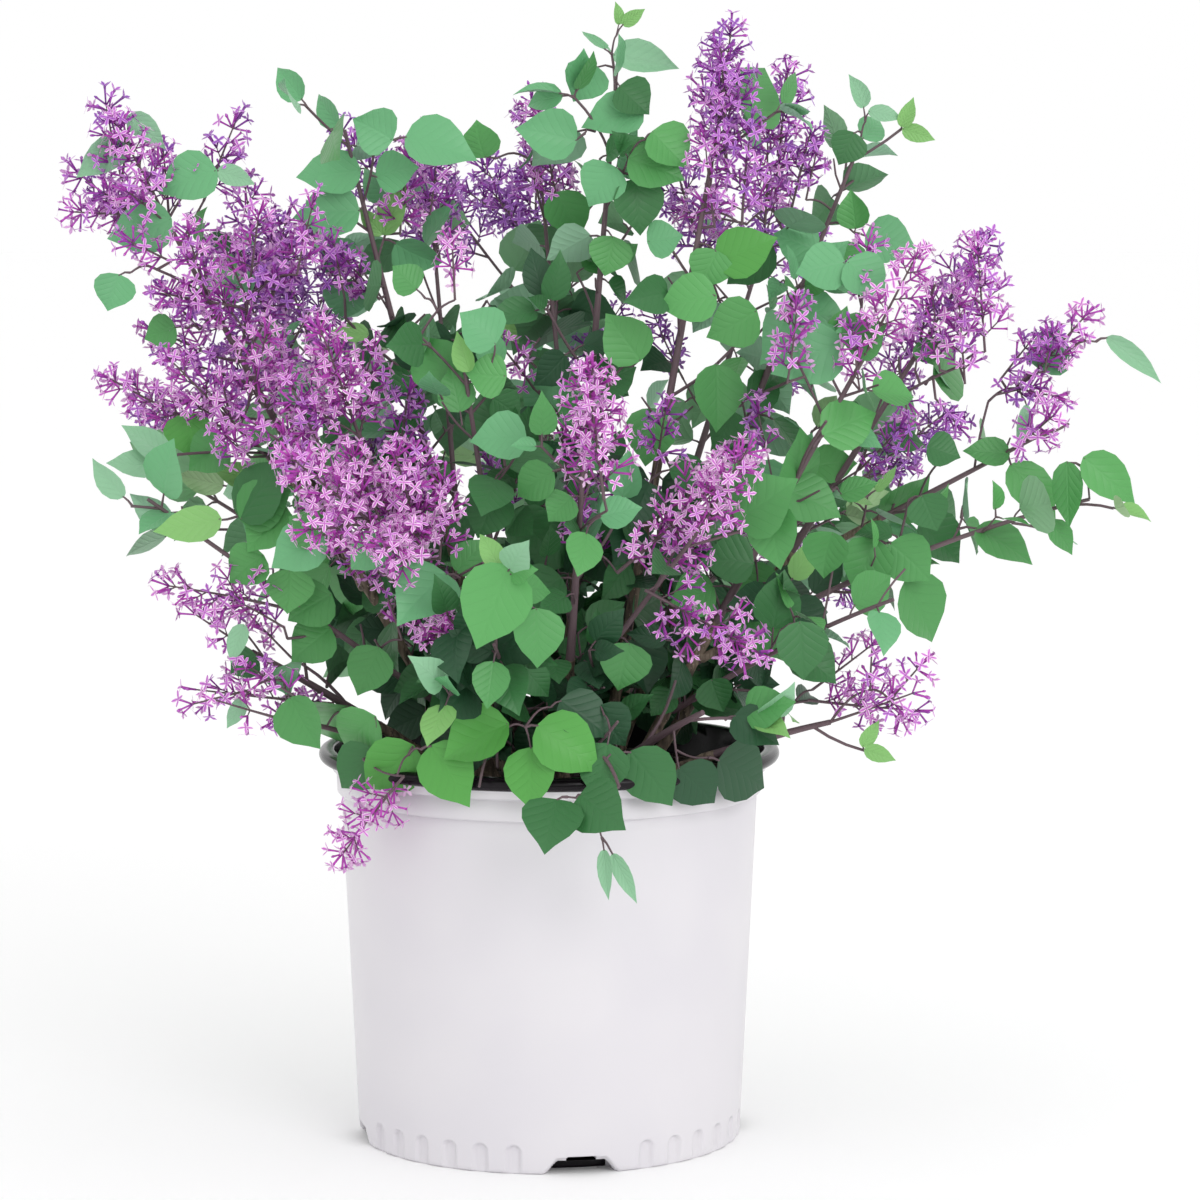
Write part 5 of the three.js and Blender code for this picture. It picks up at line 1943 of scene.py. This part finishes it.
def to_mesh(name: str, shape: bmesh.types.BMesh) -> bpy.types.Mesh:
    """Turns a shape into a mesh and frees it."""
    mesh = bpy.data.meshes.new(name)
    shape.to_mesh(mesh)
    shape.free()
    return mesh


@dataclass(frozen=True)
class NurseryPot:
    """The pot: a tapered white shell, black inside, with a rolled lip, two bands, flutes and drain mouths."""

    height: float = 240.0
    foot_radius: float = 117.0
    wall_top_radius: float = 127.0
    wall: float = 3.0
    band_low: float = 213.0
    band_high: float = 226.5
    low_radius: float = 129.5
    high_radius: float = 132.5
    groove: float = 0.9
    lip_low: float = 232.0
    lip_radius: float = 140.5
    lip_inner: float = 131.0
    kerb_height: float = 12.0
    floor: float = 3.0
    corner: float = 2.5
    steps: int = 720
    foot_top: float = 22.0
    flute_width: float = 9.5
    flute_height: float = 18.0
    flute_depth: float = 1.8
    flute_pitch_deg: float = 10.0
    mouth_count: int = 4
    mouth_first_deg: float = -80.0
    mouth_bottom: float = 44.0
    mouth_top: float = 31.0
    mouth_height: float = 8.0
    mouth_radius: float = 100.0
    recess_top: float = 10.4
    recess_depth: float = 3.0
    edge: float = 1.3

    def wall_radius(self, height: Array) -> Array:
        """Returns the outer radius of the plain wall at a height."""
        return self.foot_radius + (self.wall_top_radius - self.foot_radius) * height / self.band_low

    def profile(self) -> list[tuple[float, float]]:
        """Returns the outline from the middle of the underside round to the middle of the floor."""
        foot, corner = self.foot_radius, self.corner
        under = [(0.0, 0.0), (60.0, 0.0)] + [(float(r), 0.0) for r in np.linspace(96, foot - corner, 14)]
        bend = arc((foot - corner, corner), corner, -90, 0, 4)[1:]
        foot_rows = [(float(self.wall_radius(z)), float(z)) for z in np.arange(corner + 0.7, self.foot_top, 0.7)]
        wall = [(float(self.wall_radius(z)), float(z)) for z in (30, 60, 90, 120, 150, 180, 205, 210.6)]
        low = [
            (self.wall_top_radius - self.groove, self.band_low - 1.2),
            (self.wall_top_radius - self.groove, self.band_low - 0.3),
            (self.low_radius - 0.5, self.band_low + 0.2),
            (self.low_radius, self.band_low + 0.8),
            (self.low_radius + 0.4, self.band_high - 2.0),
            (self.low_radius + 0.4 - self.groove, self.band_high - 1.4),
            (self.low_radius + 0.4 - self.groove, self.band_high - 0.3),
        ]
        high = [
            (self.high_radius - 0.5, self.band_high + 0.2),
            (self.high_radius, self.band_high + 0.8),
            (self.high_radius + 0.5, self.lip_low - 0.8),
            (self.high_radius + 1.2, self.lip_low),
        ]
        roll = (self.height - self.lip_low) / 2
        lip = arc((self.lip_radius - roll, self.lip_low + roll), roll, -90, 90, 12)
        inside = [
            (self.lip_inner + 1.6, self.height),
            (self.lip_inner + 0.5, self.height - 0.5),
            (self.lip_inner, self.height - 1.6),
            (self.lip_inner - 0.4, self.lip_low),
            (self.wall_top_radius - self.wall, self.band_low),
            (float(self.wall_radius(self.kerb_height)) - self.wall, self.kerb_height),
            (94.0, self.kerb_height),
            (90.0, self.floor),
            (0.0, self.floor),
        ]
        return under + bend + foot_rows + wall + low + high + lip + inside

    def mouths(self) -> list[float]:
        """Returns the bearings of the drain mouths."""
        return [self.mouth_first_deg + k * 360 / self.mouth_count for k in range(self.mouth_count)]

    def press(self, points: Array) -> tuple[Array, Array]:
        """Presses the flutes and the drain mouths into the foot.

        Args:
            points: The spun shell's vertices.

        Returns:
            The moved vertices, and how much each lies in a mouth or its slot.
        """
        radius = np.hypot(points[:, 0], points[:, 1])
        bearing = np.degrees(np.arctan2(points[:, 1], points[:, 0]))
        height = points[:, 2]
        outer = (radius > self.mouth_radius - 0.1) & (height < self.foot_top) & (radius > self.wall_radius(height) - 20)
        outer &= (radius > self.wall_radius(height) - 0.6) | (height < self.corner)
        new_radius, new_height = radius.copy(), height.copy()
        dark = np.zeros(len(points))
        flutes = int(360 / self.mouth_count / self.flute_pitch_deg) - 3
        for mouth in self.mouths():
            for k in range(1, flutes + 1):
                aside = self.aside(bearing, mouth + (k + 1) * self.flute_pitch_deg)
                spring = self.flute_height - self.flute_width / 2
                off = np.hypot(aside, np.maximum(height - spring, 0))
                depth = smooth_step(0, self.edge, self.flute_width / 2 - off) * outer
                flat = np.minimum(radius, self.foot_radius - self.flute_depth)
                new_radius += (flat - radius) * depth
            aside = np.abs(self.aside(bearing, mouth))
            slope = (self.mouth_bottom - self.mouth_top) / 2 / self.mouth_height
            half = self.mouth_bottom / 2 - slope * height
            recess = smooth_step(-0.8, 1.2, half + 0.8 - aside) * smooth_step(0, 1.4, self.recess_top - height) * outer
            new_radius -= recess * np.minimum(self.recess_depth, np.maximum(radius - self.mouth_radius, 0))
            inside = smooth_step(-0.5, 0.5, half - 1.2 - aside) * (height < self.mouth_height + 0.2) * outer
            travelled = np.where(height > 0.01, self.foot_radius - self.mouth_radius + height, radius - self.mouth_radius)
            travelled = np.maximum(travelled, 0) * 1.02
            back_height = np.minimum(travelled, self.mouth_height)
            back_radius = self.mouth_radius + np.maximum(travelled - self.mouth_height, 0)
            back_radius = np.minimum(back_radius, self.foot_radius - self.recess_depth)
            new_radius += (back_radius - new_radius) * inside
            new_height += (back_height - new_height) * inside
            slot = smooth_step(0, 1.0, 9 - aside) * smooth_step(0, 0.8, 2.0 - np.abs(height - 8.5)) * outer
            new_radius -= slot * 8
            # Partly painted shade: the pocket and the slot go black for the inner layer and for the shade inside them.
            dark = np.maximum(dark, np.maximum(inside, slot))
        angle = np.radians(bearing)
        moved = np.column_stack([new_radius * np.cos(angle), new_radius * np.sin(angle), new_height])
        return moved, dark

    def aside(self, bearing: Array, middle: float) -> Array:
        """Returns how far round the foot points are from a bearing, in mm."""
        turned = (bearing - middle + 180) % 360 - 180
        return np.radians(turned) * self.foot_radius

    def build(self) -> bpy.types.Object:
        """Makes the pot."""
        mesh = to_mesh("nursery_pot", spun(self.profile(), self.steps))
        points = np.empty(len(mesh.vertices) * 3, np.float32)
        mesh.vertices.foreach_get("co", points)
        points = points.reshape(-1, 3).astype(float)
        moved, dark = self.press(points)
        mesh.vertices.foreach_set("co", moved.astype(np.float32).ravel())
        mesh.update()
        numbers = [self.is_black(face, points, dark) for face in mesh.polygons]
        mesh.polygons.foreach_set("material_index", np.array(numbers, np.int32))
        return finished_object("nursery_pot", mesh, [WHITE_PLASTIC, BLACK_PLASTIC], ["pot"])

    def is_black(self, face: bpy.types.MeshPolygon, points: Array, dark: Array) -> bool:
        """Tells whether a face is on the dark inner layer, which the lip and the mouths show; the black of the mouths'
        pockets and slots is partly that layer and partly painted shade of their hollows.
        """
        corners = list(face.vertices)
        radius = float(np.hypot(points[corners, 0], points[corners, 1]).mean())
        height = float(points[corners, 2].mean())
        if height > self.lip_low - 0.3 and radius > self.high_radius + 1.3:
            return True
        inward = face.normal.x * face.center.x + face.normal.y * face.center.y < 0
        if height > self.kerb_height and inward and radius < self.lip_inner + 1.7:
            return True
        return bool(dark[corners].mean() > 0.5)


@dataclass(frozen=True)
class PottingMix:
    """The mix that fills the pot: an uneven bed with loose bark chips on it."""

    top: float = 222.0
    radius: float = 126.2
    chips: int = 900
    roughness: float = 2.6

    def surface(self, x: float, y: float) -> float:
        """Returns the bed's height at a place."""
        rough = noise.fractal(Vector((x, y, 0)) / 26, 0.9, 2.1, 4) * self.roughness
        return self.top - 1.5 + rough + 2.0 * smooth_step(60, 126, math.hypot(x, y)) * math.sin(x / 21)

    def build(self) -> bpy.types.Object:
        """Makes the bed and its chips as one piece."""
        rows = [(float(r), self.top) for r in np.linspace(0, self.radius, 46)]
        profile = rows + [(124.0, 213.0), (113.8, 12.6), (93.2, 12.6), (89.4, 3.6), (0.0, 3.6)]
        shape = spun(profile, 200)
        for vert in shape.verts:
            if vert.co.z > self.top - 0.1:
                vert.co.z = self.surface(vert.co.x, vert.co.y)
        copies = Copies()
        bed = Pattern(shape)
        copies.add(bed, np.column_stack([np.eye(3), np.zeros(3)]), (0,))
        chance = Seeded(5081)
        forms = [self.chip(chance) for _ in range(4)]
        for _ in range(self.chips):
            reach = (self.radius - 4) * math.sqrt(chance.next())
            turn = chance.between(0, 2 * math.pi)
            x, y = reach * math.cos(turn), reach * math.sin(turn)
            size = chance.between(0.35, 1.0) ** 1.5
            tilt = unit(np.array([chance.between(-0.5, 0.5), chance.between(-0.5, 0.5), 1.0]))
            u = outward(tilt, chance.between(0, 2 * math.pi))
            place = np.array([x, y, self.surface(x, y) + size * 0.7])
            placing = np.column_stack([u * size * 5.5, np.cross(tilt, u) * size * 2.8, tilt * size * 1.5, place])
            copies.add(chance.pick(tuple(forms)), placing, (1,))
        mesh = copies.mesh("potting_mix")
        return finished_object("potting_mix", mesh, [POTTING_MIX, BARK_CHIP], ["soil"])

    def chip(self, chance: Seeded) -> Pattern:
        """Makes one broken flake of bark."""
        shape = bmesh.new()
        bmesh.ops.create_icosphere(shape, subdivisions=1, radius=1.0)
        for vert in shape.verts:
            vert.co *= chance.between(0.7, 1.15)
        return Pattern(shape)


class Limbs:
    """The bare canes and boughs, with the relief of their bark."""

    SIDES = 16
    RING_STEP = 3.4
    ROOTED = 5.0
    BUD_STEP = 30.0

    def __init__(self, crown: Crown) -> None:
        """Takes the bush's shoots."""
        self.shoots = [s for s in crown.shoots if s.spec.bare > 0]

    def stalk(self, shoot: Shoot) -> Stalk:
        """Returns a limb's line and radii, with its flare, its knots and its collar."""
        reach = shoot.length * shoot.spec.bare
        count = max(6, int(reach / self.RING_STEP))
        shares = np.linspace(0, shoot.spec.bare + 1.0 / shoot.length, count + 1)
        points = np.array([shoot.point(float(t)) for t in shares])
        radii = np.array([shoot.radius(float(t)) for t in shares])
        along = shares * shoot.length
        knots = np.exp(-(((along % self.BUD_STEP) - self.BUD_STEP / 2) ** 2) / 5.0)
        radii = radii * 0.84 * (1 + 0.13 * knots)
        if shoot.parent:
            radii *= 1 + 0.45 * np.exp(-along / 4.0)
            inside = shoot.parent.point(shoot.spec.fork)
            return Stalk(np.vstack([inside, points]), np.concatenate([[radii[0] * 1.1], radii]), CANE_BARK)
        radii *= 1 + 0.62 * np.exp(-along / 6.5)
        root = points[0] - UP * self.ROOTED
        return Stalk(np.vstack([root, points]), np.concatenate([[radii[0] * 1.15], radii]), CANE_BARK)

    def build(self) -> bpy.types.Object:
        """Makes the limbs and raises their bark."""
        stalks = [self.stalk(shoot) for shoot in self.shoots]
        mesh = mesh_of_stalks("limbs", stalks, [CANE_BARK], self.SIDES)
        for vert in mesh.vertices:
            place = Vector((vert.co.x / 1.6, vert.co.y / 1.6, vert.co.z / 7.0))
            ridge = noise.fractal(place, 0.8, 2.2, 3)
            vert.co += vert.normal * 0.22 * ridge
        names = [("bough_" if shoot.parent else "cane_") + shoot.spec.name for shoot in self.shoots]
        return finished_object("limbs", mesh, [CANE_BARK], names)


class Side(Enum):
    """The regions whose leaves and blossom are joined into pieces of their own."""

    HIGH_LEFT = "high_left"
    LOW_LEFT = "low_left"
    HIGH_CENTRE = "high_centre"
    LOW_CENTRE = "low_centre"
    HIGH_RIGHT = "high_right"
    LOW_RIGHT = "low_right"
    BACK = "back"


def side_of(shoot: Shoot) -> Side:
    """Returns the region that a shoot's foliage belongs to."""
    if shoot.tip[1] > 90:
        return Side.BACK
    high = shoot.tip[2] > 500
    if shoot.tip[0] < -110:
        return Side.HIGH_LEFT if high else Side.LOW_LEFT
    if shoot.tip[0] < 130:
        return Side.HIGH_CENTRE if high else Side.LOW_CENTRE
    return Side.HIGH_RIGHT if high else Side.LOW_RIGHT


class Foliage:
    """Every leaf, joined by region, on one set of twigs and stalks."""

    FORMS = (
        LeafPattern(0.16, 0.10, 0.02, 0.03, 0.00),
        LeafPattern(0.30, 0.16, 0.03, 0.05, 0.04),
        LeafPattern(0.10, 0.05, 0.04, 0.02, -0.03),
        LeafPattern(0.22, 0.22, 0.02, 0.06, 0.02),
        LeafPattern(0.05, 0.12, 0.05, 0.04, -0.05),
        LeafPattern(0.42, 0.08, 0.02, 0.02, 0.03),
    )

    def __init__(self, crown: Crown) -> None:
        """Takes the grown bush."""
        self.crown = crown

    def build(self, blossom: Blossom) -> None:
        """Makes the leaves, the florets and their stalks.

        Args:
            blossom: The florets' patterns, which each region's copies are taken from in turn.
        """
        forms = [form.make() for form in self.FORMS]
        for side in Side:
            shoots = [s for s in self.crown.shoots if side_of(s) is side]
            nodes = ["mass_" + shoot.spec.name for shoot in shoots]
            leaves = Copies()
            blossom.copies = Copies()
            blossom.count = 0
            for shoot in shoots:
                for leaf in self.crown.leaves[shoot.index]:
                    first = int(leaf.tint) * 2
                    leaves.add(forms[leaf.form], leaf.frame(), (first, first + 1))
                chance = Seeded(15485863 + 7919 * shoot.index)
                for head in self.crown.heads[shoot.index]:
                    blossom.grow_head(head, self.petal_tint(head, chance), chance)
            finished_object(f"foliage_{side.value}", leaves.mesh("leaves"), LEAF_FINISHES, nodes)
            if blossom.count:
                mesh = blossom.copies.mesh("florets")
                finished_object(f"blossom_{side.value}", mesh, PETAL_FINISHES, nodes)
            log.info("%s: %d florets", side.value, blossom.count)
        stalks = self.crown.stalks + blossom.stalks
        skins = [TWIG_BARK, GREEN_STALK, FLOWER_STALK]
        masses = ["mass_" + shoot.spec.name for shoot in self.crown.shoots]
        thick = [stalk for stalk in stalks if stalk.radii.max() > 1.0]
        thin = [stalk for stalk in stalks if stalk.radii.max() <= 1.0]
        finished_object("twigs", mesh_of_stalks("twigs", thick, skins, 8), skins, masses)
        finished_object("stalks", mesh_of_stalks("stalks", thin, skins, 4), skins, masses)

    def petal_tint(self, head: Head, chance: Seeded) -> PetalTint:
        """Chooses a head's purple: painted light makes it bright towards the front and the light, painted shade makes
        it deep behind, with a random spread.
        """
        middle = (head.root + head.tip) / 2
        depth = (middle[1] + 60) / 120 + chance.between(-0.5, 0.5)
        if depth < -0.4:
            return PetalTint.BRIGHT
        if depth < 0.5:
            return PetalTint.CLEAR
        return PetalTint.RICH if depth < 1.4 else PetalTint.DEEP


# ---------------------------------------------------------------- the studio


@dataclass(frozen=True)
class Studio:
    """A white floor and background, soft light and the camera. Sizes are in metres."""

    floor_size: float = 30.0
    world_strength: float = 1.0

    def build(self) -> None:
        """Makes the studio."""
        scene = bpy.context.scene
        scene.view_settings.view_transform = "Standard"
        world = bpy.data.worlds.new("studio")
        world.use_nodes = True
        world.node_tree.nodes["Background"].inputs["Color"].default_value = (1, 1, 1, 1)
        world.node_tree.nodes["Background"].inputs["Strength"].default_value = self.world_strength
        scene.world = world
        self.light("key", (1.3, -2.4, 1.6), 1.4, 20)
        self.floor()
        camera = bpy.data.cameras.new("camera")
        camera.lens = SIGHT.lens
        camera.sensor_width = SIGHT.film
        camera.clip_end = 100.0
        holder = bpy.data.objects.new("camera", camera)
        holder.location = Vector(SIGHT.eye) * MM
        holder.rotation_euler = (math.radians(90 - SIGHT.pitch_deg), 0, 0)
        scene.collection.objects.link(holder)
        scene.camera = holder

    def light(self, name: str, place: tuple[float, float, float], size: float, watts: float) -> None:
        """Adds a soft square light that faces the bush."""
        lamp = bpy.data.lights.new(name, "AREA")
        lamp.size = size
        lamp.energy = watts
        holder = bpy.data.objects.new(name, lamp)
        holder.location = place
        holder.rotation_euler = (Vector((0, 0, 0.35)) - Vector(place)).to_track_quat("-Z", "Y").to_euler()
        bpy.context.scene.collection.objects.link(holder)

    def floor(self) -> None:
        """Adds the floor."""
        shape = bmesh.new()
        bmesh.ops.create_grid(shape, x_segments=8, y_segments=8, size=self.floor_size / 2)
        ground = bpy.data.objects.new("floor", to_mesh("floor", shape))
        ground.data.materials.append(Finish("studio_floor", "ffffff", 0.9).make())
        bpy.context.scene.collection.objects.link(ground)


def main() -> None:
    """Builds the studio, then the pot, its mix, the limbs and the crown."""
    logging.basicConfig(level=logging.INFO, format="%(message)s")
    Studio().build()
    NurseryPot().build()
    PottingMix().build()
    crown = Crown()
    Limbs(crown).build()
    Foliage(crown).build(Blossom())


if __name__ == "__main__":
    main()
